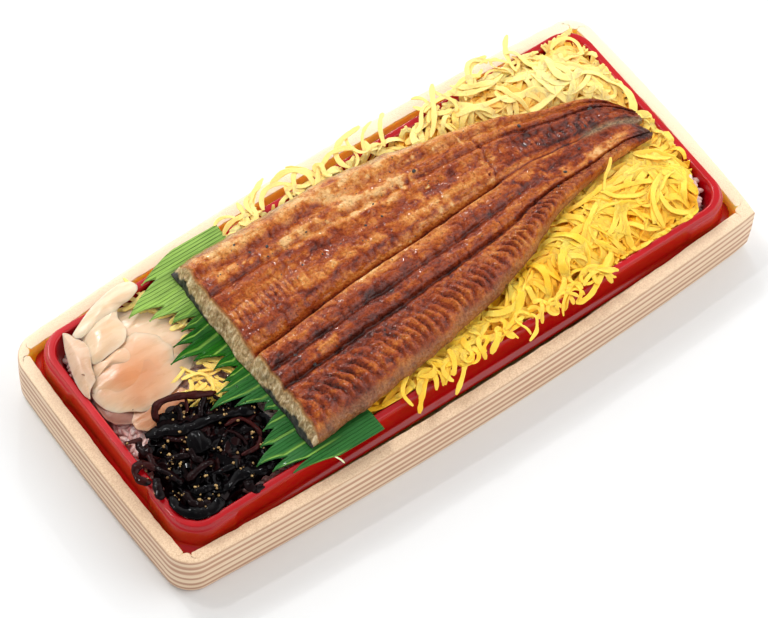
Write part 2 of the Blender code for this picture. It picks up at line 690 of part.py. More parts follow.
def make_ginger():
    material = plain_material("ginger_pickled", (0.86, 0.60, 0.42), 0.3)
    slices = (
        ("ginger_low_left", (-108.4, 4.6), (5.3, 8.0), 0.0, 0.1, (0.0, 0.0)),
        ("ginger_low_right", (-95.5, 6.4), (7.6, 6.0), 0.1, 1.1, (0.0, 0.0)),
        ("ginger_back", (-80.5, 25.5), (13.6, 17.0), 0.1, 1.0, (0.0, 0.0)),
        ("ginger_front", (-97.5, 14.0), (16.4, 11.4), -0.2, 2.3, (-0.4, 0.0)),
        ("ginger_curl", (-99.0, 24.6), (9.4, 4.6), -0.1, 3.5, (0.0, 0.0)),
        ("ginger_oval", (-96.9, 33.0), (10.4, 7.0), 0.49, 4.6, (0.0, 0.0)),
        ("ginger_top", (-90.0, 43.2), (15.6, 4.4), 0.15, 5.8, (0.0, 0.0)),
        ("ginger_left", (-109.6, 29.4), (4.6, 13.2), -0.3, 6.4, (0.8, 0.0)),
    )
    for name, middle, half, turn, level, sag in slices:
        ginger_slice(name, middle, half, turn, level, sag, material=material)


# Kelp

def kelp_share(x, y):
    """How far out a place lies on the heap of kelp: 0 at its middle and 1 at its edge."""
    edge = np.array(KELP_EDGE) - KELP_MIDDLE
    angles = np.arctan2(edge[:, 1], edge[:, 0])
    radii = np.hypot(edge[:, 0], edge[:, 1])
    order = np.argsort(angles)
    dx, dy = x - KELP_MIDDLE[0], y - KELP_MIDDLE[1]
    radius = np.interp(np.arctan2(dy, dx), angles[order], radii[order], period=2 * math.pi)
    return np.hypot(dx, dy) / radius


def kelp_height(x, y):
    """Top of the heap of kelp: lower towards +X, where the leaf lies on it."""
    dome = np.clip(1 - kelp_share(x, y) ** 2, 0, 1) ** 0.35
    top = RICE_TOP_Z + 1.6 + (KELP_TOP_Z - RICE_TOP_Z - 1.6) * dome
    lid = LEAF_Z - 1.6 + 3.0 * np.clip((-87.0 - x) / 6.0, 0, 1)
    return np.minimum(top, lid)


def kelp_core():
    around = np.linspace(0, 2 * math.pi, 20, endpoint=False)
    aim = np.column_stack([np.cos(around), np.sin(around)])
    reach = 1 / kelp_share(KELP_MIDDLE[0] + aim[:, 0], KELP_MIDDLE[1] + aim[:, 1])
    rings = []
    for share, rise in ((0.4, 0.0), (0.7, 0.0), (0.84, 0.0), (0.96, 0.0), (1.0, 1.6),
                        (0.93, None), (0.6, None), (0.25, None)):
        x = KELP_MIDDLE[0] + aim[:, 0] * reach * share
        y = KELP_MIDDLE[1] + aim[:, 1] * reach * share
        z = kelp_height(x, y) if rise is None else rice_height(x, y) + GAP + 0.7 + rise
        rings.append(np.column_stack([x, y, z]))
    return loft(rings)


def kelp_strips(rng):
    made = 0
    tries = 0
    while made < KELP_STRIPS and tries < 600:
        tries += 1
        start = (KELP_MIDDLE[0] + rng.uniform(-20, 16), KELP_MIDDLE[1] + rng.uniform(-18, 18))
        plan = wander(rng, start, rng.uniform(-0.6, 1.8), rng.uniform(14, 28), 0.9, 6)
        x, y = plan[:, 0], plan[:, 1]
        if (kelp_share(x, y) > 0.95).any():
            continue
        z = kelp_height(x, y) + 0.2
        z = z + np.where(x < -88, 0.9, 0.0) * np.sin(np.linspace(0, math.pi, len(x)))
        made += 1
        yield strip(np.column_stack([x, y, z]), rng.uniform(1.8, 3.2), 1.1, rng.uniform(-0.4, 0.4))


def kelp_loops():
    """The big loop that stands out of the heap, the strips along the wall and the ends that lie on
    the tray's rim."""
    around = np.linspace(0.0, math.pi, 8)
    loop = [-96.0 - 10.0 * np.cos(around), -4.0 + 5.6 * np.sin(around), 28.0 + 3.0 * np.sin(around)]
    yield strip(np.column_stack(loop), 1.8, 1.5)
    bend_on_rim = ((-104, -16, 29.0), (-109, -17.5, 30.2), (-113, -18.5, 31.0), (-117, -20.5, 31.3),
                   (-116.5, -23.5, 31.3), (-112, -24.5, 30.8), (-106, -23.0, 29.0))
    end_on_rim = ((-100, -30, 29.0), (-107, -31.5, 30.4), (-113, -33.5, 31.3), (-116.5, -34.0, 31.3))
    short_wall = ((-106, -7.6, 26.4), (-110, -6.8, 26.6), (-112.4, -9, 26.8), (-112.9, -13, 26.6),
                  (-110.6, -17, 26.8))
    near_corner = ((-98, -39.4, 26.6), (-104.5, -38.8, 27.0), (-109, -36.6, 27.0), (-110.8, -32, 26.8))
    for path, width in ((bend_on_rim, 2.6), (end_on_rim, 2.2), (short_wall, 2.2), (near_corner, 2.4)):
        yield strip(np.array(path), width, 1.2)


def make_kelp(rng):
    points, faces = kelp_core()
    core = add_object("kelp", points, faces, plain_material("kelp_black", (0.015, 0.010, 0.008), 0.15))
    pieces = list(kelp_strips(rng)) + list(kelp_loops())
    for _ in range(SEEDS):
        x = KELP_MIDDLE[0] + rng.uniform(-14, 2)
        y = KELP_MIDDLE[1] + rng.uniform(-13, 13)
        place = np.array([x, y, float(kelp_height(x, y)) + 0.5])
        pieces.append(grain(place, rng.uniform(0, 6.28), 2.0, 1.4, sides=4))
    fuse(core, pieces)


def main():
    clear_scene()
    rng = np.random.default_rng(7)
    make_box()
    make_tray()
    make_rice(rng)
    make_egg(rng)
    make_leaf()
    make_eel()
    make_ginger()
    make_kelp(rng)


main()
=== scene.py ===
"""Looks of a boxed meal: grilled eel on shredded egg and rice, in a red tray inside a foam frame,
with a cut leaf, pickled ginger and simmered kelp.

Lengths are millimetres in the part's own frame and go into the meshes in metres. Every new piece
is a surface on a grid of two parameters, or a profile carried along paths, worked out as whole
arrays. Values that repeat the part's source have the same names as there.
"""

import math

import bmesh
import bpy
import numpy as np
from mathutils import Matrix, Vector


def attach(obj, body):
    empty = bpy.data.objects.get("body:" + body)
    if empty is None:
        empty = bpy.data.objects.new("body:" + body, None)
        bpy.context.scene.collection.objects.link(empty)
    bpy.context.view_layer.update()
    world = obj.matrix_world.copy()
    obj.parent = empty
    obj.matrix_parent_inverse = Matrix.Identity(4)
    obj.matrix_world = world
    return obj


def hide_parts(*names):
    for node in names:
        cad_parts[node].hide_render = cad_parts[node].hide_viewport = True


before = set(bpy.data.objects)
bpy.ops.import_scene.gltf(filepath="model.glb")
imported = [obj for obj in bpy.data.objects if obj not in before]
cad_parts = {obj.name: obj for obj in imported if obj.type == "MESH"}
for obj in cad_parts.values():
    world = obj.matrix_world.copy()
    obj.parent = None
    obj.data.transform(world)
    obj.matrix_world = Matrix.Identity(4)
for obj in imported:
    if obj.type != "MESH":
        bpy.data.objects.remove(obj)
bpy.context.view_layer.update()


# Numbers

def ease(t):
    """Smooth step from 0 to 1: three t squared less two t cubed, held at its ends."""
    t = np.clip(t, 0, 1)
    return t * t * (3 - 2 * t)


def bell(t, middle, width):
    """A bump of height 1: the exponential of minus the square of the distance over the width."""
    return np.exp(-((t - middle) / width) ** 2)


def tapered(stations, least, width):
    """The width along a strip: 1, falling to the least at both ends by a bell of the given width."""
    return 1 - (1 - least) * bell(np.abs(np.linspace(-1, 1, stations)), 1.0, width)


def arched(stations, turns=1.0):
    """Half a wave of a sine along a strip, or as many half waves as there are turns."""
    return np.sin(np.linspace(0, 1, stations) * math.pi * turns)


def softened(values, reach, width, ends="edge"):
    """Values averaged with their neighbours, weighted by a bell, up to a reach of so many steps."""
    window = bell(np.arange(-reach, reach + 1), 0.0, width)
    return np.convolve(np.pad(values, reach, ends), window / window.sum(), "valid")


MM = 0.001

# Frame
BOX_LENGTH, BOX_WIDTH = 250.0, 105.6
BOX_WALL, BOX_FLOOR, BOX_CORNER = 4.9, 1.2, 9.0
LONG_BOW, SHORT_BOW = 4.7, 1.4
SLIT_DEPTH, TAB_HALF = 2.2, 1.5
FILM_LINES = 3.9  # from one brown line on the film to the next

# Tray
RIM_X, RIM_Y, RIM_Z, RIM_CORNER, RIM_BAND = 118.0, 46.2, 29.8, 10.8, 2.2
LIP_Z, STEP_OUT, SKIRT_Z = 28.0, 1.1, 19.5
FLANGE_X, FLANGE_Y, FLANGE_BOW, FLANGE_Z = 120.2, 48.1, 1.4, 18.5
FLOOR_X, FLOOR_Y, TRAY_FLOOR_Z, SHEET = 108.5, 37.0, 2.2, 0.8
JOG_X, JOG_Y, JOG_DEPTH, JOG_RUN = 98.4, 24.0, 0.7, 1.5

# Rice and egg
RICE_X, RICE_Y = 112.3, 40.8
RICE_STEPS = ((0.0, 3.6, 13.5), (19.5, 22.5, 23.5))
EGG_LEFT, EGG_RIGHT, EGG_WIDE, EGG_CORNER = -63.0, 112.6, 42.4, 17.0
EGG_TOP_Z, EGG_MOUND = 29.0, 3.0
CORNER_WAY = (0.85, -0.53)  # outwards across the line where the heap stops short of a corner

# Eel
EEL_CUT_X, EEL_TAIL_X, EEL_FOOT_Z = -61.0, 111.0, 30.5
EEL_THICK, EEL_TAIL_THICK, CUT_SLANT = 10.3, 4.2, 3.6
GROOVE_DEPTH = 4.6
FAR_EDGE = np.array((
    (-64, 40.5), (-55, 41.6), (-9, 41.8), (3, 41.2), (24, 38.2), (46, 33.2), (66, 28.4), (82, 21.5),
    (96, 17.5), (104, 13.4), (109, 6.5), (111.5, 1)))
NEAR_EDGE = np.array((
    (-64, -43.4), (-32, -40.6), (-5, -37.2), (23, -31.8), (39, -26.8), (48, -23.4), (59, -17.6),
    (75, -13.6), (89, -11.2), (101, -10.2), (111.5, -10.6)))
GROOVE = np.array((
    (-64, -5.4), (-37, -2.6), (-13, 0.2), (14, 0.9), (51.5, 3.7), (64, 4), (76, 3), (85, 2.2), (93, 1.9),
    (101, 1), (107, -1.4), (111.5, -3.4)))

# Leaf, ginger and kelp
LEAF_RIGHT, LEAF_NEAR, LEAF_FAR = -39.5, -50.5, 48.5
LEAF_Z, LEAF_OVER_RIM_Z, LEAF_THICK = 29.75, 30.7, 0.36
GINGER_MIDDLE, GINGER_SPREAD, GINGER_RISE = (-96.0, 27.0), 18.0, 3.4
SLICE_THICK, SLICE_STEP = 0.8, 1.25
KELP_MIDDLE = (-90.0, -20.0)
KELP_EDGE = np.array((
    (-100, -1), (-90, 1), (-79, -4), (-70, -12), (-66.5, -24), (-70, -35), (-81, -39.6), (-91, -39.2),
    (-101, -39.4), (-108.2, -37.2), (-111.4, -27), (-111.6, -13), (-108.6, -6.4)))
KELP_FOOT_Z, KELP_TOP_Z = 25.1, 29.6

# Outlines that are carried along paths
FLAT = ((-1.0, 0.0), (-0.84, 1.0), (0.84, 1.0), (1.0, 0.0), (0.84, -1.0), (-0.84, -1.0))
RIBBON = ((-1.0, 0.0), (-0.72, 0.9), (0.72, 0.9), (1.0, 0.0), (0.72, -0.9), (-0.72, -0.9))
ROD = ((-1.0, 0.0), (-0.5, 0.87), (0.5, 0.87), (1.0, 0.0), (0.5, -0.87), (-0.5, -0.87))

# Places read off the photograph are given for the height SEEN_Z; a place that is a millimetre
# higher is seen SIGHT further along X and Y.
SEEN_Z, SIGHT = 30.0, (0.388, 0.449)


# Noise, lines and heights

def waves(x, y, size, seed, layers=3):
    """Smooth noise of about -1 to 1: random heights on a square net of the given size, joined by
    smooth steps, with finer nets of half the size and half the height on top."""
    total = np.zeros(np.broadcast(x, y).shape)
    for layer in range(layers):
        net = np.random.default_rng(seed + 17 * layer).uniform(-1, 1, (64, 64))
        u, v = x / size * 2 ** layer, y / size * 2 ** layer
        i, j = np.floor(u).astype(int), np.floor(v).astype(int)
        s, t = ease(u - i), ease(v - j)
        low = net[i % 64, j % 64] * (1 - s) + net[(i + 1) % 64, j % 64] * s
        high = net[i % 64, (j + 1) % 64] * (1 - s) + net[(i + 1) % 64, (j + 1) % 64] * s
        total += (low * (1 - t) + high * t) * 0.5 ** layer
    return total


def rounded_line(points):
    """A line through its points with rounded corners: straight stretches on a fine scale, averaged
    with a bell-shaped window."""
    places = np.arange(-90.0, 130.0, 0.5)
    return places, softened(np.interp(places, *np.transpose(points)), 12, 6.0)


FAR_LINE, NEAR_LINE, GROOVE_LINE = (rounded_line(edge) for edge in (FAR_EDGE, NEAR_EDGE, GROOVE))


def rice_height(x, y):
    """Top of the rice, from how far inside its edge a place lies."""
    return np.interp(np.minimum(RICE_X - np.abs(x), RICE_Y - np.abs(y)), *RICE_STEPS)


def egg_height(x, y):
    """Top of the heap of shreds, as in the part: level under the eel, a mound beside it, lower
    along the wall, with gentle lumps."""
    outside = np.maximum(y - np.interp(x, *FAR_LINE), np.interp(x, *NEAR_LINE) - y)
    outside = np.maximum(outside, x - EEL_TAIL_X) * (x > LEAF_RIGHT + 3.0)
    beside = np.clip((outside - 1.0) / 6.0, 0, 1)
    wall = 1 - np.clip(np.minimum(EGG_RIGHT - x, EGG_WIDE - np.abs(y)) / 7.0, 0, 1)
    lumps = 0.5 * np.sin(0.42 * x + 0.2 * y) * np.sin(0.5 * y - 0.15 * x)
    return EGG_TOP_Z + beside * (EGG_MOUND * (1 - wall) + lumps) - 1.2 * wall * (x > 0)


def leaf_height(x, y):
    """The leaf lies level, and lifts over the rim and towards its tips."""
    lift = ease((np.abs(y) - 40.5) / 3.0)
    tips = 0.7 * ease((-73.0 - x) / 8.0)
    return LEAF_Z + tips + (LEAF_OVER_RIM_Z - LEAF_Z) * lift


def ginger_floor(x, y):
    """The mound below the ginger: a bell-shaped rise on the rice."""
    away = (x - GINGER_MIDDLE[0]) ** 2 + (y - GINGER_MIDDLE[1]) ** 2
    return RICE_STEPS[1][2] + 0.9 + GINGER_RISE * np.exp(-away / (2 * GINGER_SPREAD ** 2))


def kelp_share(x, y):
    """How far out a place lies on the heap of kelp: 0 at its middle and 1 at its edge."""
    edge = KELP_EDGE - KELP_MIDDLE
    angles, radii = np.arctan2(edge[:, 1], edge[:, 0]), np.hypot(edge[:, 0], edge[:, 1])
    order = np.argsort(angles)
    dx, dy = x - KELP_MIDDLE[0], y - KELP_MIDDLE[1]
    radius = np.interp(np.arctan2(dy, dx), angles[order], radii[order], period=2 * math.pi)
    return np.hypot(dx, dy) / radius


def kelp_height(x, y):
    """Top of the kelp: a steep-sided dome that stays below the leaf."""
    dome = np.clip(1 - kelp_share(x, y) ** 2, 0, 1) ** 0.35
    top = KELP_FOOT_Z + (KELP_TOP_Z - KELP_FOOT_Z) * dome
    return np.minimum(top, LEAF_Z - 1.6 + 3.0 * np.clip((-87.0 - x) / 6.0, 0, 1))


# Meshes

def change_mesh(mesh, change):
    """Runs a change on a mesh that needs its edit form."""
    work = bmesh.new()
    work.from_mesh(mesh)
    change(work)
    work.to_mesh(mesh)
    work.free()


def put_piece(name, points, faces, material, slot, nodes, polygons=(), outward=True, sharp=None, **values):
    """A mesh object from points in millimetres, an array of four-sided faces and a few many-sided
    ones, with one number per point for each named attribute."""
    mesh = bpy.data.meshes.new(name)
    points = np.asarray(points, np.float32).reshape(-1, 3) * MM
    corners = np.concatenate([np.asarray(loop, np.int32).reshape(-1) for loop in (faces, *polygons)])
    sizes = np.array([4] * len(faces) + [len(loop) for loop in polygons], np.int32)
    mesh.vertices.add(len(points))
    mesh.vertices.foreach_set("co", points.ravel())
    mesh.loops.add(len(corners))
    mesh.loops.foreach_set("vertex_index", corners)
    mesh.polygons.add(len(sizes))
    mesh.polygons.foreach_set("loop_start", (np.cumsum(sizes) - sizes).astype(np.int32))
    mesh.polygons.foreach_set("use_smooth", np.ones(len(sizes), bool))
    mesh.update(calc_edges=True)
    mesh.validate()
    for label, numbers in values.items():
        numbers = np.broadcast_to(np.asarray(numbers, np.float32), (len(points),))
        attribute = mesh.attributes.new(label, "FLOAT", "POINT")
        attribute.data.foreach_set("value", np.ascontiguousarray(numbers))
    if outward:
        change_mesh(mesh, lambda work: bmesh.ops.recalc_face_normals(work, faces=work.faces))
    if sharp:
        mesh.set_sharp_from_angle(angle=math.radians(sharp))
    thing = put_thing(name, mesh)
    mesh.materials.append(material)
    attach(thing, "root")
    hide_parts(*nodes)
    return thing


def grid_quads(rows, columns, round_columns=False):
    """Four-sided faces of a grid of points in row order; the last column may join the first."""
    i, j = np.meshgrid(np.arange(rows - 1), np.arange(columns - (not round_columns)), indexing="ij")
    across = (j + 1) % columns
    corners = (i * columns + j, (i + 1) * columns + j, (i + 1) * columns + across, i * columns + across)
    return np.stack(corners, -1).reshape(-1, 4)


def loft(rings):
    """Faces of a skin through rings of equal count, with the first and last ring closed."""
    rows, count = len(rings), len(rings[0])
    last = np.arange(count) + (rows - 1) * count
    return np.vstack(rings), grid_quads(rows, count, True), [np.arange(count)[::-1], last]


def carried(paths, wide, thick, roll, profile):
    """Profiles carried along many paths at once. Paths are strips x stations x 3; at each station
    the profile lies across the path and over it, turned about the path by the roll and scaled by
    half the width and half the thickness. Both ends are closed. Also gives each point's strip."""
    profile = np.array(profile)
    strips, stations, sides = paths.shape[0], paths.shape[1], len(profile)
    ahead = np.gradient(paths, axis=1)
    ahead /= np.linalg.norm(ahead, axis=2, keepdims=True) + 1e-9
    aside = np.cross(ahead, (0.0, 0.0, 1.0))
    aside /= np.linalg.norm(aside, axis=2, keepdims=True) + 1e-9
    upward = np.cross(aside, ahead)
    wide, thick, roll = (np.broadcast_to(v, (strips, stations))[..., None] for v in (wide, thick, roll))
    across = (aside * np.cos(roll) + upward * np.sin(roll))[:, :, None]
    over = (upward * np.cos(roll) - aside * np.sin(roll))[:, :, None]
    across = across * (profile[:, :1] * wide[..., None] / 2)
    over = over * (profile[:, 1:] * thick[..., None] / 2)
    points = (paths[:, :, None] + across + over).reshape(-1, 3)
    caps = np.array([(0, 1, 2, 3), (0, 3, 4, 5)])
    one = np.vstack([grid_quads(stations, sides, True), caps[:, ::-1], caps + (stations - 1) * sides])
    faces = (one[None] + (np.arange(strips) * stations * sides)[:, None, None]).reshape(-1, 4)
    return points, faces, np.repeat(np.arange(strips), stations * sides)


def wander(rng, start, heading, length, bend, stations):
    """Plans of curling strips: each heading swings as a sine of random phase and pace, and steps
    of equal length follow it; the strip is centred on its start."""
    count = len(start)
    pace, phase = rng.uniform(1.5, 4.5, (count, 1)), rng.uniform(0, 6.28, (count, 1))
    turn = heading[:, None] + bend[:, None] * np.sin(np.linspace(0, 1, stations) * pace + phase)
    moves = np.stack([np.cos(turn), np.sin(turn)], -1) * (length / (stations - 1))[:, None, None]
    plan = np.cumsum(moves, axis=1)
    return start[:, None] + plan - plan[:, stations // 2][:, None]


def kept_inside(plan, low, high, spare):
    """Moves each strip inwards by as much as it reaches over the limits, and a little more."""
    over = np.maximum(plan.max(axis=1) + spare - high, 0) + np.minimum(plan.min(axis=1) - spare - low, 0)
    return plan - over[:, None]


def scattered(rng, x_range, y_range, count):
    """Random places in a rectangle."""
    return np.column_stack([rng.uniform(*x_range, count), rng.uniform(*y_range, count)])


def put_beads(name, rng, places, size, wide, thick, dip, material, slot, node):
    """Small flattened beads: rods that swell in the middle, each with its own heading and dip, whose
    width and thickness are shares of its length."""
    share = np.array([-0.5, -0.42, -0.2, 0.2, 0.42, 0.5])
    swell = np.array([0.28, 0.74, 1.0, 1.0, 0.74, 0.28])
    heading = rng.uniform(0, 6.28, len(places))
    axis = np.column_stack([np.cos(heading), np.sin(heading), rng.uniform(-dip, dip, len(places))])
    paths = places[:, None] + axis[:, None] * (share[:, None] * size[..., None])
    points, faces, _ = carried(paths, size * swell * wide, size * swell * thick, 0.0, ROD)
    put_piece(name, points, faces, material, slot, [node])


def seen_at(points, z):
    """Plan of points that were read off the photograph for a height of 30 mm, moved along the line of
    sight to the height z."""
    points, rise = np.asarray(points, float), (np.asarray(z, float) - SEEN_Z)
    return np.column_stack([points[:, k] - SIGHT[k] * rise for k in (0, 1)])


def resting(points, spots, reach=0.7):
    """The highest of the points that are seen at each spot read off the photograph, and which spots
    have one."""
    seen = points[:, :2] + (points[:, 2:] - SEEN_Z) * SIGHT
    place, kept = [], []
    for k, spot in enumerate(spots):
        near = np.flatnonzero(np.hypot(*(seen - spot).T) < reach)
        if len(near):
            place.append(points[near[np.argmax(points[near, 2])]])
            kept.append(k)
    return np.array(place), kept


def through(points, stations, seen=True):
    """A smooth path through a few points: each coordinate is interpolated along the length and
    averaged with its neighbours. Points read off the photograph are moved along the line of sight."""
    points = np.array(points, float)
    if seen:
        points[:, :2] = seen_at(points[:, :2], points[:, 2])
    length = np.concatenate([[0], np.cumsum(np.linalg.norm(np.diff(points, axis=0), axis=1))])
    place = np.linspace(0, length[-1], stations + 8)
    path = np.column_stack([np.interp(place, length, points[:, k]) for k in range(3)])
    for _ in range(4):
        path = (path[:-2] + 2 * path[1:-1] + path[2:]) / 4
    return path


# Finishes

def lit(colour):
    """A colour of three numbers, 0 to 255 as the eye sees it, as the light that it reflects. A
    colour of four numbers is such light already, and a node's value stays as it is."""
    if isinstance(colour, Value) or len(colour) == 4:
        return colour
    share = np.array(colour) / 255
    light = np.where(share <= 0.04045, share / 12.92, ((share + 0.055) / 1.055) ** 2.4)
    return (*light.tolist(), 1.0)


class Value:
    """A number or colour that a node gives. Sums and products of values are nodes too."""

    def __init__(self, nodes, socket):
        self.nodes, self.socket = nodes, socket

    def math(self, operation, other):
        return self.nodes.node("ShaderNodeMath", 0, {0: self, 1: other}, operation=operation)

    def __add__(self, other):
        return self.math("ADD", other)

    def __sub__(self, number):
        return self.math("ADD", -number)

    def __mul__(self, other):
        return self.math("MULTIPLY", other)

    def span(self, low, high, out_low=0.0, out_high=1.0):
        """A smooth step between two numbers as the value goes from low to high."""
        limits = {"From Min": low, "From Max": high, "To Min": out_low, "To Max": out_high}
        return self.nodes.node("ShaderNodeMapRange", "Result", {"Value": self, **limits},
                               interpolation_type="SMOOTHSTEP")

    def ramp(self, *stops):
        """A colour between stops, each a place followed by a colour's numbers."""
        made = self.nodes.node("ShaderNodeValToRGB", "Color", {"Fac": self})
        elements = made.socket.node.color_ramp.elements
        for k, (place, *colour) in enumerate(stops):
            stop = elements[k] if k < 2 else elements.new(place)
            stop.position, stop.color = place, lit(colour)
        return made


class Nodes:
    """The nodes of a material or of the surround, which start from one kind of coordinates."""

    def __init__(self, tree, coordinates):
        self.tree = tree
        self.place = self.node("ShaderNodeTexCoord", coordinates)

    def join(self, socket, value):
        if isinstance(value, Value):
            self.tree.links.new(value.socket, socket)
        else:
            socket.default_value = value

    def node(self, kind, output, inputs=None, **settings):
        """One output of a new node, whose inputs are set to numbers or joined to values."""
        made = self.tree.nodes.new(kind)
        for label, value in settings.items():
            setattr(made, label, value)
        for label, value in (inputs or {}).items():
            self.join(made.inputs[label], value)
        return Value(self, made.outputs[output])


class Finish(Nodes):
    """A material with some constant inputs; patterns are counted per millimetre of the object."""

    def __init__(self, name, **constants):
        self.material = bpy.data.materials.new(name)
        self.material.use_nodes = True
        super().__init__(self.material.node_tree, "Object")
        self.shader = self.tree.nodes["Principled BSDF"].inputs
        for label, value in constants.items():
            self.shader[label.replace("_", " ")].default_value = value

    def scaled(self, pace, turn=0.0):
        """Coordinates for so many patterns per millimetre, in all or in each direction, turned about Z."""
        paces = pace if isinstance(pace, tuple) else (pace,) * 3
        return self.node("ShaderNodeMapping", "Vector", {
            "Vector": self.place, "Scale": tuple(1000 * p for p in paces), "Rotation": (0, 0, turn)})

    def noise(self, pace, detail=3.0, rough=0.5, distort=0.0, turn=0.0):
        return self.node("ShaderNodeTexNoise", "Fac", {
            "Vector": self.scaled(pace, turn), "Scale": 1.0, "Detail": detail, "Roughness": rough,
            "Distortion": distort})

    def cells(self, pace, feature="F1"):
        return self.node("ShaderNodeTexVoronoi", "Distance", {"Vector": self.scaled(pace), "Scale": 1.0},
                         feature=feature)

    def number(self, label):
        return self.node("ShaderNodeAttribute", "Fac", attribute_name=label)

    def along(self, axis):
        """Millimetres along an axis."""
        return self.node("ShaderNodeSeparateXYZ", axis, {0: self.place}) * 1000.0

    def mix(self, share, low, high):
        return self.node("ShaderNodeMix", 2, {"Factor": share, 6: lit(low), 7: lit(high)}, data_type="RGBA")

    def done(self, colour, roughness, *reliefs):
        """The material, with its colour, its roughness and its reliefs, each with a depth in mm."""
        self.join(self.shader["Base Color"], colour)
        self.join(self.shader["Roughness"], roughness)
        below = {}
        for relief, depth in reliefs:
            shape = {"Height": relief, "Distance": depth * MM}
            below = {"Normal": self.node("ShaderNodeBump", "Normal", {**shape, **below})}
        for normal in below.values():
            self.join(self.shader["Normal"], normal)
        return self.material


def spotted_finish(name, pace, dark, pale, roughness, stops=(0.3, 0.7), **constants):
    """Two tones in soft spots. The roughness is a number, or a pair that follows the spots."""
    paint = Finish(name, **constants)
    spots = paint.noise(pace)
    if isinstance(roughness, tuple):
        roughness = spots.span(0.3, 0.7, *roughness)
    return paint.done(spots.ramp((stops[0], *dark), (stops[1], *pale)), roughness)


def seed_finish(name, pale, dark):
    """Small hard things, such as seeds and flecks: two tones in fine soft spots, with a dull sheen."""
    return spotted_finish(name, 0.9, dark, pale, 0.4, (0.35, 0.65), Specular_IOR_Level=0.5)


def foam_finish():
    """Foam board: a printed wood film outside with brown lines along the wall, a finely granular cut
    edge on top with painted light that makes it paler towards the far side and the right, and an
    orange film inside that glows with the light behind the wall."""
    paint = Finish("foam_board", Specular_IOR_Level=0.25, Subsurface_Scale=14.0 * MM,
                   Subsurface_Radius=(1.0, 0.6, 0.3))
    on_edge, inside = paint.number("edge"), paint.number("inside")
    paint.join(paint.shader["Subsurface Weight"], inside)
    streak = paint.noise((0.012, 0.012, 0.5), 3.0, 0.6, 0.4)
    fine = paint.noise((0.05, 0.05, 2.4), 2.0, 0.6)
    lines = (paint.along("Z") * (2 * math.pi / FILM_LINES) + streak * 5.0).math("SINE", 0.0)
    film = lines.span(-1.0, 1.0).ramp((0.0, 230, 206, 176), (0.42, 222, 194, 162), (0.75, 196, 152, 124),
                                      (1.0, 182, 136, 108))
    film = paint.mix(fine.span(0.5, 0.75) * 0.3, film, (206, 160, 130))
    film = paint.mix(inside, film, streak.ramp((0.3, 255, 200, 112), (0.6, 255, 214, 134)))
    crumbs = paint.noise(2.2, 3.0, 0.6)
    edge = crumbs.ramp((0.3, 212, 178, 144), (0.5, 230, 200, 166), (0.7, 242, 216, 184))
    # Painted light: the cut edge is painted paler towards the far side and the right, where the back light
    # falls on it.
    behind = (paint.along("Y") + paint.along("X") * 0.35).span(-50.0, 50.0)
    edge = paint.mix(behind * 0.85, edge, (255, 238, 206))
    return paint.done(paint.mix(on_edge, film, edge), on_edge.span(0, 1, 0.5, 0.85),
                      (crumbs * on_edge, 0.3), (fine, 0.05))


def tray_finish():
    """Thin glossy red plastic, with a faint flow of tone and roughness."""
    paint = Finish("red_plastic", Specular_IOR_Level=0.35, Coat_Weight=0.15, Coat_Roughness=0.06)
    flow = paint.noise((0.03, 0.03, 0.1), 2.0)
    return paint.done(flow.ramp((0.3, 158, 2, 12), (0.7, 184, 6, 20)), flow.span(0.3, 0.7, 0.16, 0.24),
                      (paint.noise(0.12, 2.0), 0.12))


def rice_finish():
    """Moist cooked rice: translucent and pinkish, partly from soy stain and partly painted red light bounced
    from the tray, each grain with its own tone.
    """
    paint = Finish("cooked_rice", Subsurface_Weight=0.35, Subsurface_Scale=1.2 * MM,
                   Subsurface_Radius=(1.0, 0.75, 0.6), Specular_IOR_Level=0.5)
    spots = paint.noise(0.35, 3.0, 0.6)
    # Pinkish base: partly soy stain, partly painted red light bounced from the tray.
    tone = spots.ramp((0.3, 224, 190, 180), (0.7, 246, 226, 216))
    tone = paint.mix(paint.number("tone"), tone, (208, 150, 144))
    return paint.done(tone, spots.span(0.35, 0.65, 0.22, 0.42), (paint.noise(1.1, 2.0), 0.15))


def egg_finish():
    """Thin cooked egg: moist lemon yellow, with painted shade that makes it deeper orange between and below
    the shreds, and painted light that makes it paler away from the viewer.
    """
    paint = Finish("cooked_egg", Subsurface_Weight=0.4, Subsurface_Scale=1.6 * MM,
                   Subsurface_Radius=(1.0, 0.7, 0.3), Specular_IOR_Level=0.2)
    cloud, pits = paint.noise(0.12, 3.0, 0.55), paint.cells(1.6)
    tone = cloud.ramp((0.28, 252, 178, 34), (0.5, 255, 198, 54), (0.72, 255, 216, 88))
    tone = paint.mix(paint.number("tone") * 0.5, tone, (255, 222, 104))
    # Painted light: paler towards the far side, where the light falls more brightly.
    tone = paint.mix(paint.along("Y").span(-30.0, 30.0) * 0.62, tone, (255, 242, 170))
    # Painted shade: deeper orange on the core and on shreds lying low in the heap.
    tone = paint.mix(paint.number("deep"), tone, (255, 172, 16))
    tone = paint.mix(pits.span(0.35, 0.05) * 0.12, tone, (250, 180, 40))
    return paint.done(tone, cloud.span(0.3, 0.7, 0.36, 0.54), (pits, 0.08), (cloud, 0.3))


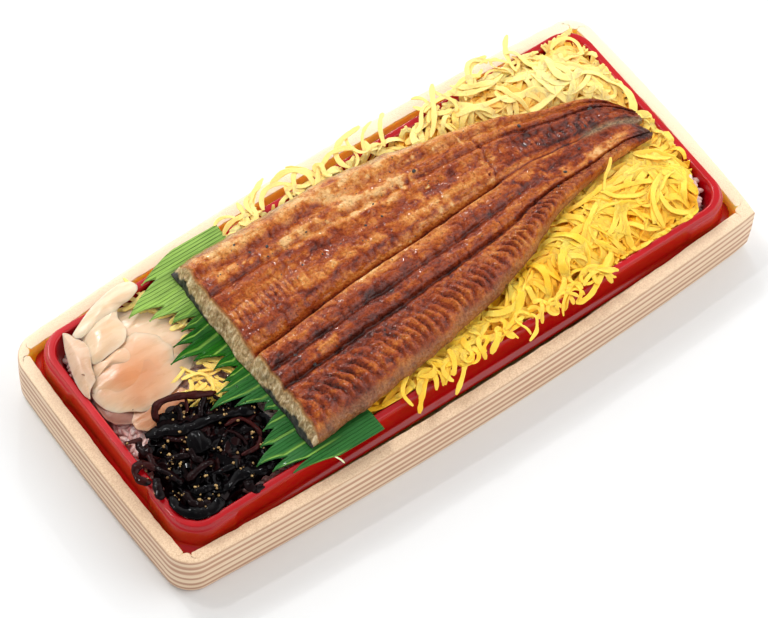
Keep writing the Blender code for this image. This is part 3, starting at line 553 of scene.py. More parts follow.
def eel_finish():
    """Grilled and glazed eel: tan to mahogany by how browned it is, grey skin at its edges, and on
    its cut pale flaky flesh between an orange rim and black skin, with painted light on the pale
    fibres and painted shade in the gaps between flakes, all under a thin sauce."""
    paint = Finish("grilled_eel", Specular_IOR_Level=0.06, Coat_Weight=0.42, Coat_Roughness=0.1,
                   Subsurface_Weight=0.06, Subsurface_Scale=1.2 * MM, Subsurface_Radius=(1.0, 0.4, 0.2))
    mottle = paint.noise((0.2, 0.3, 0.2), 4.0, 0.6, 0.3)
    patch = paint.noise((0.32, 0.45, 0.3), 5.0, 0.65, 0.4)
    fine, grain = paint.noise(0.9, 4.0, 0.65), paint.noise(2.6, 2.0, 0.6)
    browned = paint.number("browned") + (mottle - 0.5) * 0.5 + patch.span(0.52, 0.68) * 0.12
    browned = browned + (fine - 0.5) * 0.32 + (grain - 0.5) * 0.16
    tone = browned.ramp((0.05, 232, 184, 122), (0.26, 208, 134, 64), (0.44, 176, 90, 30),
                        (0.60, 144, 58, 20), (0.80, 108, 38, 18), (1.0, 62, 22, 14))
    grey = fine.ramp((0.3, 76, 62, 50), (0.5, 140, 112, 82), (0.7, 186, 152, 112))
    tone = paint.mix(paint.number("skin") * 0.9, tone, grey)
    on_cut = paint.number("flesh")
    flakes, fibre = paint.cells((0.1, 0.4, 0.22), "SMOOTH_F1"), paint.noise((0.3, 0.8, 0.35), 4.0, 0.6, 0.6)
    # Flesh tone, partly its own and partly painted light on the pale fibres.
    flesh = fibre.ramp((0.32, 140, 112, 76), (0.45, 180, 150, 108), (0.57, 212, 186, 144),
                       (0.68, 240, 222, 188))
    # Painted shade: darker in the gaps between flakes.
    flesh = paint.mix(flakes.span(0.45, 0.8) * 0.6, flesh, (112, 98, 76))
    flesh = paint.mix(paint.number("depth").span(0.24, 0.06) * 0.8, flesh, (204, 142, 80))
    flesh = paint.mix(paint.number("dark"), flesh, fibre.ramp((0.35, 34, 34, 38), (0.75, 92, 88, 84)))
    crust = on_cut.span(0, 1, 1, 0.4)
    return paint.done(paint.mix(on_cut, tone, flesh), mottle.span(0.35, 0.65, 0.22, 0.38) + on_cut * 0.25,
                      (fine * crust, 0.8), (grain, 0.2), (paint.cells(1.0, "SMOOTH_F1") * crust, 0.75))


def leaf_finish():
    """A waxy cut leaf: light green, bright green and bluish green along its length, the bluish green
    at the near end partly its own tone and partly a painted wet reflection, yellow-green midribs and
    fine lengthwise lines."""
    paint = Finish("cut_leaf", Specular_IOR_Level=0.05, Coat_Weight=0.2, Coat_Roughness=0.12)
    cloud, fine = paint.noise(0.08, 3.0, 0.6), paint.noise((0.06, 3.2, 0.06), 2.0, 0.6)
    bands = {"Vector": paint.scaled(0.245), "Scale": 1.0, "Distortion": 0.6, "Detail Scale": 0.4}
    line = paint.node("ShaderNodeTexWave", "Fac", bands, wave_type="BANDS", bands_direction="Y")
    line = line.span(0.16, 0.02)
    tone = cloud.ramp((0.35, 2, 66, 0), (0.65, 26, 100, 0))
    # The bluish green share is partly the leaf's own tone and partly a painted wet reflection.
    for share, colour in ((paint.number("light"), (160, 196, 96)), (paint.number("blue"), (46, 104, 48)),
                          (line * 0.5, (16, 70, 14)), (fine.span(0.52, 0.7) * 0.3, (20, 70, 12)),
                          (paint.number("rib"), (158, 202, 84))):
        tone = paint.mix(share, tone, colour)
    return paint.done(tone, cloud.span(0.35, 0.65, 0.24, 0.42), (line, 0.2), (fine, 0.2))


def ginger_finish():
    """Pickled ginger: thin, wet and translucent, peach where it lies over others, reddish and darker
    beside the tray as painted red light from the tray and painted shade, with a faintly paler rim as
    a painted highlight, and fine fibres."""
    paint = Finish("pickled_ginger", Subsurface_Weight=0.5, Subsurface_Scale=1.8 * MM,
                   Subsurface_Radius=(1.0, 0.65, 0.45), Specular_IOR_Level=0.35, Coat_Weight=0.3,
                   Coat_Roughness=0.2)
    fibre = paint.noise((0.05, 0.22, 0.1), turn=0.5)
    tone = fibre.ramp((0.3, 214, 182, 146), (0.7, 232, 206, 176))
    tone = paint.mix(paint.number("pink"), tone, (206, 134, 86))
    # Painted red light from the tray and painted shade: reddish and darker on the low slices beside it.
    tone = paint.mix(paint.number("red"), tone, (140, 88, 76))
    # Painted highlight: the rim of each slice is painted a little paler.
    tone = paint.mix(paint.number("rim") * 0.2, tone, (244, 224, 200))
    return paint.done(tone, fibre.span(0.3, 0.7, 0.22, 0.36), (fibre, 0.45))


def kelp_finish():
    """Simmered kelp: nearly black and wet, dark red-brown where a strip is thin."""
    paint = Finish("simmered_kelp", Specular_IOR_Level=0.0, Coat_Weight=0.17, Coat_Roughness=0.05)
    cloud = paint.noise(0.3, 3.0, 0.6)
    tone = cloud.ramp((0.35, 0.0006, 0.0006, 0.001, 1.0), (0.75, 0.004, 0.0025, 0.003, 1.0))
    tone = paint.mix(paint.number("brown") * cloud.span(0.25, 0.5), tone, (58, 20, 18))
    return paint.done(tone, cloud.span(0.35, 0.65, 0.1, 0.2), (paint.noise(0.5, 2.0), 0.6))


# Camera, light and floor

CAMERA_PLACE = (-0.46907, -0.54096, 1.20967)
CAMERA_AXES = ((0.80379, -0.59313, 0.04608), (0.49235, 0.70669, 0.50811), (-0.33394, -0.38573, 0.86006))
LIGHTS = (  # name, place and side in metres, watts; all face the middle of the box
    ("large_light", (-0.2, 1.0, 1.1), 1.3, 3.5), ("sheen_light", (-0.1, 0.8, 1.15), 0.28, 3.2),
    ("front_light", (0.8, -0.7, 1.15), 1.2, 8.0), ("glint_light_1", (-0.15, 0.75, 1.0), 0.045, 1.5),
    ("glint_light_2", (0.5, 0.95, 0.75), 0.045, 1.5), ("glint_light_3", (-0.3, 0.4, 1.1), 0.045, 1.5))


def put_thing(name, data):
    """A new object with its data, in the scene."""
    thing = bpy.data.objects.new(name, data)
    bpy.context.scene.collection.objects.link(thing)
    return thing


def set_camera():
    """The camera of the photograph, from its place and its right, up and backward directions."""
    lens = bpy.data.cameras.new("camera")
    lens.lens, lens.sensor_width, lens.clip_start, lens.clip_end = 184.45, 36.0, 0.01, 10.0
    camera = put_thing("camera", lens)
    placed = Matrix(CAMERA_AXES).transposed().to_4x4()
    placed.translation = Vector(CAMERA_PLACE)
    camera.matrix_world = placed
    bpy.context.scene.camera = camera


def set_stage():
    """A pale floor, a surround that is bright at the horizon and dim overhead and on the left, a large
    and a smaller light from behind, one from the front on the right, and three small ones for glints.
    Nothing bright lies where a level wet surface would mirror it to the camera."""
    scene = bpy.context.scene
    scene.world = bpy.data.worlds.new("surround")
    scene.world.use_nodes = True
    scene.view_settings.view_transform = "Standard"
    sky = Nodes(scene.world.node_tree, "Generated")
    fade = sky.node("ShaderNodeSeparateXYZ", "Z", {0: sky.place}).span(0.45, 0.85, 1.28, 0.46)
    side = sky.node("ShaderNodeVectorMath", "Value", {0: sky.place, 1: (0.42, 0.25, 0.0)},
                    operation="DOT_PRODUCT")
    background = sky.tree.nodes["Background"].inputs
    background["Color"].default_value = (1.0, 1.0, 1.0, 1.0)
    sky.join(background["Strength"], fade * side + fade)
    for name, place, size, power in LIGHTS:
        data = bpy.data.lights.new(name, "AREA")
        data.size, data.energy = size, power
        lamp = put_thing(name, data)
        lamp.location = place
        lamp.rotation_euler = (Vector((0, 0, 0.02)) - Vector(place)).to_track_quat("-Z", "Y").to_euler()
    mesh = bpy.data.meshes.new("floor")
    mesh.from_pydata([(-4, -4, 0), (4, -4, 0), (4, 4, 0), (-4, 4, 0)], [], [(0, 1, 2, 3)])
    dim, pale = (0.785, 0.795, 0.80, 1.0), (0.805, 0.815, 0.82, 1.0)
    mesh.materials.append(spotted_finish("pale_floor", 0.01, dim, pale, 0.6, Specular_IOR_Level=0.2))
    floor = put_thing("floor", mesh)


# Frame and tray

def turned_sides(half_x, half_y, side):
    """Joins four sides into one outline, anticlockwise from the near one: a side is worked out as
    if it were the near one, and turned by quarters."""
    parts = []
    for quarter in range(4):
        reach, across = (half_x, half_y) if quarter % 2 == 0 else (half_y, half_x)
        x, y = side(reach, across, quarter % 2 == 0)
        c, s = round(math.cos(quarter * math.pi / 2)), round(math.sin(quarter * math.pi / 2))
        parts.append(np.column_stack([x * c - y * s, x * s + y * c]))
    return np.vstack(parts)


def cornered(x, y, reach, across, corner, angle):
    """A near side with the quarter circle that follows it."""
    return (np.append(x, reach - corner + corner * np.cos(angle)),
            np.append(y, -across + corner + corner * np.sin(angle)))


def box_ring(offset, z, inner, ragged=0.0, slit=1.0):
    """One ring of the frame, as in the part: straight sides that bow outwards, round corners
    outside (a tight one near the tail), and inside two pointed slits beside a tab at each corner."""
    def side(reach, across, long):
        end = reach - (2.0 if inner else BOX_CORNER)
        x = np.linspace(-end, end, 82 if long else 42)[1:-1]
        y = np.full(len(x), -across)
        if not inner:
            return cornered(x, y, reach, across, BOX_CORNER, np.linspace(-math.pi / 2, 0, 19))
        tip = (SLIT_DEPTH - 0.6 * offset + 0.6 * BOX_WALL) * slit
        tab = TAB_HALF * 0.8
        key_x = (reach - 2.0, reach - 1.35, reach - tab, reach - TAB_HALF / 2, reach, reach + tip, reach)
        key_y = (0.0, -tip, 0.0, TAB_HALF / 2, tab, 1.35, 2.0)
        share = np.linspace(0, 6, 19)
        return (np.append(x, np.interp(share, range(7), key_x)),
                np.append(y, np.interp(share, range(7), np.array(key_y) - across)))

    half_x, half_y = BOX_LENGTH / 2 - offset, BOX_WIDTH / 2 - offset
    x, y = turned_sides(half_x, half_y, side).T
    if not inner:
        from_x, from_y = x - (half_x - BOX_CORNER), -y - (half_y - BOX_CORNER)
        corner = (from_x > 0) & (from_y > 0)
        stretch = 0.85 * (BOX_CORNER / np.maximum(np.maximum(from_x, from_y), 1) - 1) * corner
        x, y = x + from_x * stretch, y - from_y * stretch
    far_y = y + LONG_BOW * y / half_y * (1 - (x / (BOX_LENGTH / 2)) ** 2)
    far_x = x + SHORT_BOW * x / (BOX_LENGTH / 2) * (1 - (y / (BOX_WIDTH / 2)) ** 2)
    jitter = ragged * (waves(x, y, 1.7, 5) + 0.6 * waves(x, y, 6.0, 6))
    return np.column_stack([far_x * (1 - jitter / 118), far_y * (1 - jitter / 50), np.full(len(x), z)])


# Rings of the frame: offset, Z, whether inside, raggedness, slit, on the cut edge, inside film
BOX_ROWS = np.array((
    (1.2, 0, 0, 0, 1, 0, 0), (0.9, 0.5, 0, 0, 1, 0, 0), (0.3, 3, 0, 0, 1, 0, 0), (0, 12, 0, 0, 1, 0, 0),
    (0, 22.2, 0, 0, 1, 0, 0), (0.1, 22.75, 0, 0.06, 1, 0.3, 0), (0.4, 23, 0, 0.08, 1, 1, 0),
    (1.1, 23, 0, 0.05, 1, 1, 0), (4.5, 23, 1, 0.12, 0.62, 1, 0), (4.8, 22.9, 1, 0.16, 0.6, 1, 0),
    (4.9, 22.5, 1, 0.05, 0.5, 0, 1), (4.9, 21.2, 1, 0, 0.05, 0, 1), (4.9, 12, 1, 0, 0.05, 0, 1),
    (4.9, 1.2, 1, 0, 0.05, 0, 1)))


def make_box():
    """The foam frame: rings up its outer face, over its top and down its inner face."""
    rings = [box_ring(*row[:5]) for row in BOX_ROWS]
    points, faces, ends = loft(rings)
    edge, inside = np.repeat(BOX_ROWS[:, 5:], len(rings[0]), axis=0).T
    put_piece("foam_frame", points, faces, foam_finish(), "frame_foam", ["box"], ends, sharp=40,
              edge=edge, inside=inside)


def tray_ring(half_x, half_y, corner, z, jog, bow):
    """One ring of the tray, as in the part: the middle stretch of each side steps in by the jog
    with a smooth step, and the long sides bow."""
    def side(reach, across, long):
        end = JOG_X if long else JOG_Y
        x = np.concatenate([np.linspace(-end - JOG_RUN, -end + JOG_RUN, 7),
                            np.linspace(-end + JOG_RUN, end - JOG_RUN, 41)[1:-1],
                            np.linspace(end - JOG_RUN, end + JOG_RUN, 7)])
        y = -across + jog * ease((end + JOG_RUN - np.abs(x)) / (2 * JOG_RUN))
        x = x * min(1.0, (reach - corner) / (end + JOG_RUN) * 0.999)
        return cornered(x, y, reach, across, corner, np.linspace(-math.pi / 2, 0, 21))

    x, y = turned_sides(half_x, half_y, side).T
    return np.column_stack([x, y + bow * y / half_y * (1 - (x / half_x) ** 2), np.full(len(x), z)])


def filleted(rows, reach):
    """Rounds the corners of a profile: each inner row gives way to five on a parabola between
    points a short way before and after it."""
    rows = np.array(rows, float)
    kept = [rows[0]]
    for before, here, after in zip(rows[:-2], rows[1:-1], rows[2:]):
        back, on = before - here, after - here
        room_back, room_on = (math.hypot(v[0], v[3]) for v in (back, on))
        start = here + back * min(0.45, reach / room_back)
        stop = here + on * min(0.45, reach / room_on)
        for t in np.linspace(0, 1, 5):
            kept.append(start * (1 - t) ** 2 + here * 2 * t * (1 - t) + stop * t ** 2)
    return kept + [rows[-1]]


def make_tray():
    """The tray: floor, inner wall, rim, lip, stepped skirt and flange, and back up inside it."""
    def rim(out, corner, z, jog=0.0):
        return RIM_X + out, RIM_Y + out, corner, z, jog, 0

    def floor(out_x, out_y, corner, z):
        return FLOOR_X + out_x, FLOOR_Y + out_y, corner, z, 0, 0

    flange = [(FLANGE_X, FLANGE_Y, 6.5, z, 0, FLANGE_BOW) for z in (FLANGE_Z, FLANGE_Z - SHEET)]
    rows = [floor(0, 0, 7.5, TRAY_FLOOR_Z), rim(-RIM_BAND - 0.5, 8.6, RIM_Z - 0.6),
            rim(-RIM_BAND, 9.0, RIM_Z), rim(0, RIM_CORNER, RIM_Z), rim(0.4, RIM_CORNER, LIP_Z),
            rim(STEP_OUT, 11.5, LIP_Z - 0.3, JOG_DEPTH), rim(1.6, 12.0, SKIRT_Z, JOG_DEPTH), *flange,
            rim(0.7, 11.0, SKIRT_Z - 1.2, JOG_DEPTH), rim(0.2, 10.8, LIP_Z - 1.1, JOG_DEPTH),
            rim(-0.5, 10.4, RIM_Z - SHEET), rim(-1.5, 9.6, RIM_Z - SHEET),
            floor(1.2, 1.1, 8.2, TRAY_FLOOR_Z + 0.4), floor(0.4, 0.4, 7.6, BOX_FLOOR + 0.3)]
    points, faces, ends = loft([tray_ring(*row) for row in filleted(rows, 0.45)])
    put_piece("red_tray", points, faces, tray_finish(), "tray_plastic", ["tray"], ends)


# Rice

def food_ring(half_x, half_y, corner, height, middle=0.0):
    """One ring of a food bed: a rounded rectangle, with its height from a number or a function."""
    def side(reach, across, long):
        count = 110 if long else 44
        x, y = np.linspace(-(reach - corner), reach - corner, count), np.full(count, -across)
        return cornered(x, y, reach, across, corner, np.linspace(-math.pi / 2, 0, 14)[1:-1])

    x, y = turned_sides(half_x, half_y, side).T
    x = x + middle
    return np.column_stack([x, y, height(x, y) if callable(height) else np.full(len(x), height)])


def grains(rng, places, length, width, tilt=0.25):
    """Grains of rice: short rods that swell in the middle, each with its own heading and dip."""
    count = len(places)
    heading, dip = rng.uniform(0, 6.28, count), rng.uniform(-tilt, tilt, count)
    axis = np.column_stack([np.cos(heading) * np.cos(dip), np.sin(heading) * np.cos(dip), np.sin(dip)])
    share = np.array([-0.5, -0.4, -0.17, 0.17, 0.4, 0.5])
    swell = np.array([0.22, 0.68, 1.0, 1.0, 0.68, 0.22])
    size = rng.uniform(0.85, 1.12, (count, 1))
    paths = places[:, None] + axis[:, None] * (share[:, None] * length) * size[..., None]
    paths[..., 2] -= 0.08 * length * share ** 2
    wide = width * swell * size
    return carried(paths, wide, wide * 0.82, 0.0, ROD)


def make_rice():
    """The rice bed: a bumpy core a little below the part's surface, and loose grains on it where
    nothing covers them."""
    def bumpy(x, y):
        return rice_height(x, y) - 0.9 + 0.35 * waves(x, y, 3.0, 3)

    rings = [food_ring(FLOOR_X - 0.4, FLOOR_Y - 0.4, 7.2, TRAY_FLOOR_Z + 0.4),
             food_ring(RICE_X - 0.3, RICE_Y - 0.3, 8.3, RICE_STEPS[1][0] - 0.8)]
    for corner, insets in ((9.0, (0.9, 2.0, 3.6, 6.0, 9.0, 13.5)), (6.0, (19.0, 26.0, 33.0))):
        rings += [food_ring(RICE_X - inset, RICE_Y - inset, corner, bumpy) for inset in insets]
    material = rice_finish()
    points, faces, ends = loft(rings)
    put_piece("rice_core", points, faces, material, "rice_cooked", ["rice"], ends, tone=0.3)
    rng = np.random.default_rng(21)
    x = np.concatenate([rng.uniform(-111.5, -62, 2100), rng.uniform(96, 111.5, 420)])
    y = rng.uniform(-40, 40, len(x))
    inward = np.minimum(RICE_X - np.abs(x), RICE_Y - np.abs(y))
    corner = np.hypot(np.maximum(np.abs(x) - 104, 0), np.maximum(np.abs(y) - 32.5, 0)) < 8.0
    kept = (inward > 1.2) & corner
    x, y = x[kept], y[kept]
    level = np.column_stack([x, y, rice_height(x, y) - 0.3 + rng.uniform(-0.5, 0.7, len(x))])
    pile = scattered(rng, (104, 113.6), (-40, -22), 90)  # grains in the tray's near right corner
    beyond = corner_gap(*pile.T)
    z = 27.4 - 1.1 * np.maximum(beyond + 1.0, 0) + rng.uniform(-0.6, 0.6, 90)
    pile = np.column_stack([pile, z])[(beyond > -4.5) & (beyond < 1.5)]
    places = np.vstack([level, pile])
    points, faces, grain = grains(rng, places, 6.0, 2.3)
    put_piece("rice_grains", points, faces, material, "rice_cooked", ["rice"],
              tone=rng.uniform(0, 0.7, len(places))[grain])


# Egg

def over_rim(x, y, z):
    """Lifts a path over the tray's rim where it crosses it."""
    out = np.maximum(np.abs(x) - (RIM_X - 4.6), np.abs(y) - (RIM_Y - 4.6))
    lift = ease(out / 2.6)
    return np.maximum(z, z + (RIM_Z + 1.1 - z) * lift)


def under_eel(x, y, margin):
    """1 where the eel lies above a place, falling to 0 over a millimetre beyond the margin."""
    gap = np.maximum(y - np.interp(x, *FAR_LINE), np.interp(x, *NEAR_LINE) - y)
    gap = np.maximum(gap, np.maximum(x - EEL_TAIL_X, EEL_CUT_X - CUT_SLANT - x))
    return 1 - ease(gap - margin)


def corner_gap(x, y):
    """How far a place lies beyond the line where the heap stops short of the tray's near right corner."""
    return CORNER_WAY[0] * (x - 107.5) + CORNER_WAY[1] * (y + 38.7)


EGG_ZONES = (  # shreds, their X and Y, and how far their headings spread
    (290, (54, 116), (-44, -8), 3.14), (130, (8, 66), (-44, -22), 3.14), (84, (-38, 14), (-44, -35), 0.7),
    (215, (58, 116), (10, 44), 3.14), (70, (102, 116), (-25, 26), 3.14), (84, (-44, 66), (39, 44.5), 0.5))


def make_egg():
    """The shredded egg: a core below the part's surface, and flat shreds that wander over it in
    layers, dip under the eel, and hang over the tray's rim where the photograph shows it."""
    middle, half = (EGG_RIGHT + EGG_LEFT) / 2, (EGG_RIGHT - EGG_LEFT) / 2

    def at(inset, height):
        return food_ring(half - inset, EGG_WIDE - inset, max(2.0, EGG_CORNER - inset), height, middle)

    def under(x, y):
        return rice_height(x, y) + 0.5

    def over(x, y):
        return egg_height(x, y) - 2.3 + 0.5 * waves(x, y, 4.0, 31)

    rings = [at(inset, under) for inset in (16.0, 6.0, 2.6)] + [at(0.8, 25.2), at(0.7, 26.4)]
    rings += [at(inset, over) for inset in (2.4, 4.0, 6.0, 8.5, 11.0, 14.0, 18.0, 23.0, 28.0, 34.0, 40.0)]
    material = egg_finish()
    points, faces, ends = loft(rings)
    # The core below the shreds is painted mostly in the deep orange shade colour.
    put_piece("egg_core", points, faces, material, "egg_yellow", ["egg_shreds"], ends, tone=0.0, deep=0.85)

    rng = np.random.default_rng(8)
    start, heading = [], []
    for count, across, along, spread in EGG_ZONES:
        start.append(scattered(rng, across, along, count))
        heading.append(rng.uniform(-spread, spread, count))
    start, heading = np.vstack(start), np.concatenate(heading)
    hidden = under_eel(start[:, 0], start[:, 1], -2.0) > 0.5
    start, heading = start[~hidden], heading[~hidden]
    order = rng.permutation(len(start))
    low_count = len(start) // 2
    for name, rows, stations, layers in (("egg_shreds_low", order[:low_count], 14, (-2.8, -0.9)),
                                         ("egg_shreds_top", order[low_count:], 24, (-0.9, 1.0))):
        count = len(rows)
        plan = wander(rng, start[rows], heading[rows], rng.triangular(14, 25, 48, count),
                      rng.triangular(0.3, 0.8, 2.4, count), stations)
        plan = kept_inside(plan, (-62, -43.8), (115.6, 44.8), np.abs(rng.normal(0, 1.2, (count, 2))))
        beyond = np.maximum(corner_gap(plan[..., 0], plan[..., 1]).max(axis=1), 0)[:, None]
        x, y = plan[..., 0] - CORNER_WAY[0] * beyond, plan[..., 1] - CORNER_WAY[1] * beyond
        layer = rng.uniform(*layers, (count, 1))
        arch = arched(stations, rng.uniform(0.8, 2.0, (count, 1))) * rng.uniform(0, 1.4, (count, 1))
        z = egg_height(x, y) + layer + np.maximum(arch, -0.5) + 0.4 * waves(x, y, 8.0, 77)
        cover = under_eel(x, y, 0.4)
        z = over_rim(x, y, z * (1 - cover) + np.minimum(z, EGG_TOP_Z + 0.5) * cover)
        # Painted shade: the lower a shred lies below the heap's top, the more deep orange shade it gets.
        put_shreds(name, rng, np.stack([x, y, z], -1), 0.6 - (z - egg_height(x, y)) * 0.5, material)
    make_fringe(rng, material)


def put_shreds(name, rng, paths, deep, material, size=1.0, thin=1.0):
    """Flat shreds along paths: 1.5 to 2.9 mm wide, pointed at both ends, with a slow twist."""
    count, stations = paths.shape[:2]
    wavy = 1 + 0.22 * waves(paths[..., 0], paths[..., 1], 2.6, 79)
    wide = size * rng.uniform(1.5, 2.9, (count, 1)) * tapered(stations, 0.5, 0.1) * wavy
    twist, pace, phase = (rng.uniform(low, high, (count, 1)) for low, high in ((-1, 1), (2, 7), (0, 6.28)))
    turn = twist * np.sin(np.linspace(0, 1, stations) * pace + phase)
    roll = rng.normal(0, 0.15, (count, 1)) + 0.55 * turn
    points, faces, strip = carried(paths, wide, thin * rng.uniform(0.3, 0.46, (count, 1)), roll, FLAT)
    # Share of painted deep orange shade at each station.
    deep = np.broadcast_to(np.clip(deep, 0, 1), (count, stations))
    put_piece(name, points, faces, material, "egg_yellow", ["egg_shreds"], sharp=28,
              tone=rng.uniform(0, 1, count)[strip], deep=np.repeat(deep.ravel(), len(FLAT)))


HANGING = (  # single shreds that the photograph shows: X, Y and Z of the points they run through
    ((91.4, -8.4, 37), (90, -10.6, 36.6), (88, -12.6, 35.2), (84.7, -14.4, 34), (81.8, -17.7, 33.4),
     (79.3, -22.6, 33.2)),
    ((70.5, -37.5, 32.4), (67.6, -40, 32.6), (59.7, -45, 31.8), (52, -49.1, 30.6), (46.8, -49.5, 30.4),
     (41.7, -46.4, 31.2)),
    ((99.9, 37.9, 32.6), (103, 40.6, 33.8), (106.5, 41, 34.8), (110.1, 39.3, 35.2), (111.5, 36.2, 34.6),
     (110.8, 32.1, 33.2), (111.3, 28.6, 32.6)),
    ((2, -42, 32), (-1, -45.6, 32.2), (-5, -49.6, 31.2), (-9.5, -52.6, 29.4), (-12.5, -54.4, 27.6)),
    ((-14, -42, 31.8), (-18, -45, 32.2), (-22, -48.4, 31.4), (-25, -51.6, 29.6), (-27, -53.4, 28)),
    ((28, -42, 32.4), (30, -46, 32.4), (27, -50, 31), (21, -52, 29.6)),
    ((76, 43.5, 32.6), (73, 46.6, 33.2), (68, 47.8, 33.2), (63, 46.4, 32.6), (60, 43.6, 32.2)),
    ((88, 42.6, 32.6), (84, 46.6, 33.6), (80, 49.4, 33.8), (75, 49.8, 33)),
    ((20, 44.5, 32.2), (16, 48.6, 33), (10, 49.6, 33), (5, 47.4, 32.4), (1, 44.6, 32)),)


def make_fringe(rng, material):
    """Shreds beyond the heap: a fringe that lies along and over the far rim, some that hang over the
    near rim, scraps between the leaf, the ginger and the kelp, and a few long single ones."""
    stations, count = 24, 38
    start = scattered(rng, (-40, 96), (42.6, 46.8), count)
    plan = wander(rng, start, rng.normal(0, 0.7, count) + math.pi * rng.integers(0, 2, count),
                  rng.uniform(9, 26, count), rng.triangular(0.3, 0.9, 2.4, count), stations)
    plan = kept_inside(plan, (-41, 40.5), (100, 49.2), np.abs(rng.normal(0, 1.0, (count, 2))))
    arch = arched(stations) * rng.uniform(0, 1.8, (count, 1))
    far = np.dstack([plan, 31.0 + rng.uniform(0, 1.1, (count, 1)) + arch])

    count = 44
    start = scattered(rng, (-28, 62), (-46.0, -42.5), count)
    plan = wander(rng, start, rng.normal(0.3, 1.1, count), rng.uniform(7, 17, count),
                  rng.uniform(0.6, 2.4, count), stations)
    plan = kept_inside(plan, (-30, -50.2), (66, -30.0), np.abs(rng.normal(0, 1.4, (count, 2))))
    x, y = plan[..., 0], np.minimum(plan[..., 1], np.interp(plan[..., 0], *NEAR_LINE) + 1.0)
    z = 31.1 + rng.uniform(0, 1.0, (count, 1)) + arched(stations) * 0.8
    near = np.stack([x, y, z - 1.1 * np.clip((-47.0 - y) / 2.0, 0, 2)], -1)
    single = np.array([through(row, stations, False) for row in HANGING])
    put_shreds("egg_fringe", rng, np.concatenate([far, near, single]), 0.15, material, 0.78, 0.6)

    start = np.vstack([scattered(rng, (-90, -66), (-6, 9), 34), scattered(rng, (-82, -76), (36, 43), 9),
                       scattered(rng, (-72, -66), (18, 30), 9)])
    count = len(start)
    plan = wander(rng, start, rng.uniform(-1.2, 0.5, count), rng.uniform(8, 18, count),
                  rng.uniform(0.2, 1.2, count), stations)
    z = np.minimum(26.3 + rng.uniform(0, 1.6, (count, 1)) + 0.06 * np.clip(plan[..., 0] + 90, 0, 30), 28.6)
    put_shreds("egg_scraps", rng, np.dstack([plan, z]), 0.2, material, 0.7)


# Eel

LINES = {  # share of the lengthwise lines from the outer edge to the groove, at places along X
    "near_low": ((-60, 20, 32, 45, 54, 76, 90), (0.553, 0.49, 0.45, 0.42, 0.40, 0.26, 0.24)),
    "near_high": ((-60, 20, 60, 100), (0.765, 0.71, 0.66, 0.60)),
    "far_low": ((-60, 20, 60, 100), (0.245, 0.29, 0.24, 0.20)),
    "far_high": ((-60, 20, 60, 100), (0.41, 0.465, 0.42, 0.38)),
}
NEAR_MARKS, FAR_MARKS = (0.553, 0.765), (0.245, 0.41)
# From the outer edge of a half to the groove: places, then heights in mm or how browned it is
NEAR_RIDGES = ((0, 0.1, 0.22, 0.36, 0.4, 0.46, 0.51, 0.553, 0.6, 0.66, 0.73, 0.765, 0.8, 0.86, 0.93, 1),
               (0, 0.05, 0.05, 0.1, 0, 0.5, 0.25, -1.2, 0.25, 0.65, 0.3, -0.7, 0.3, 0.75, 0.4, 0))
FAR_RIDGES = ((0, 0.05, 0.13, 0.2, 0.245, 0.29, 0.34, 0.385, 0.41, 0.44, 0.5, 0.56, 0.6, 0.7, 0.82, 0.88, 1),
              (0, 0.15, 0.6, 0.2, -0.5, 0, 0.45, 0.15, -0.6, 0.1, 0.6, 0.2, -0.05, 0.3, 0.3, 0.1, 0))
NEAR_BROWN = ((0, 0.05, 0.12, 0.25, 0.36, 0.46, 0.52, 0.553, 0.6, 0.66, 0.72, 0.765, 0.8, 0.88, 0.94, 0.965,
               1),
              (0.46, 0.42, 0.42, 0.46, 0.54, 0.5, 0.6, 0.92, 0.62, 0.44, 0.58, 0.8, 0.62, 0.5, 0.44, 0.34,
               0.6))
FAR_BROWN = ((0, 0.04, 0.08, 0.13, 0.2, 0.245, 0.3, 0.36, 0.41, 0.45, 0.5, 0.56, 0.62, 0.72, 0.82, 0.87, 0.9,
              0.97, 1),
             (0.26, 0.16, 0.24, 0.32, 0.38, 0.36, 0.38, 0.46, 0.7, 0.54, 0.5, 0.44, 0.36, 0.38, 0.5, 0.72,
              0.42, 0.34, 0.95))


def marked_share(x, share, far_half):
    """The share across a half, stretched so that its two lengthwise lines, which wander along the
    eel, fall on fixed marks."""
    result = np.zeros_like(share)
    for half, low, high, (mark, mark_2) in ((~far_half, "near_low", "near_high", NEAR_MARKS),
                                            (far_half, "far_low", "far_high", FAR_MARKS)):
        first = np.interp(x, *LINES[low]) + 0.008 * waves(x, 0 * x, 7.0, 45)
        second = np.interp(x, *LINES[high]) + 0.008 * waves(x, 0 * x, 9.0, 46)
        middle = mark + (share - first) / (second - first) * (mark_2 - mark)
        inner = mark_2 + (share - second) / (1 - second) * (1 - mark_2)
        stretched = np.where(share < first, share / first * mark, np.where(share < second, middle, inner))
        result = np.where(half, stretched, result)
    return np.clip(result, 0, 1)


def soft_profile(share, profile):
    """A profile through its points, with the corners averaged away."""
    fine = np.linspace(-0.1, 1.1, 601)
    return np.interp(share, fine, softened(np.interp(fine, *profile), 15, 6.0))


def segments(x):
    """Which segment of flesh a place along the eel is in, counted from the cut: they are 4.6 mm wide
    there and narrow evenly to 1.8 mm at the tail."""
    return 62.5 * np.log(4.6 / (4.6 - 0.016 * (np.clip(x, -80, 125) + 60.0)))


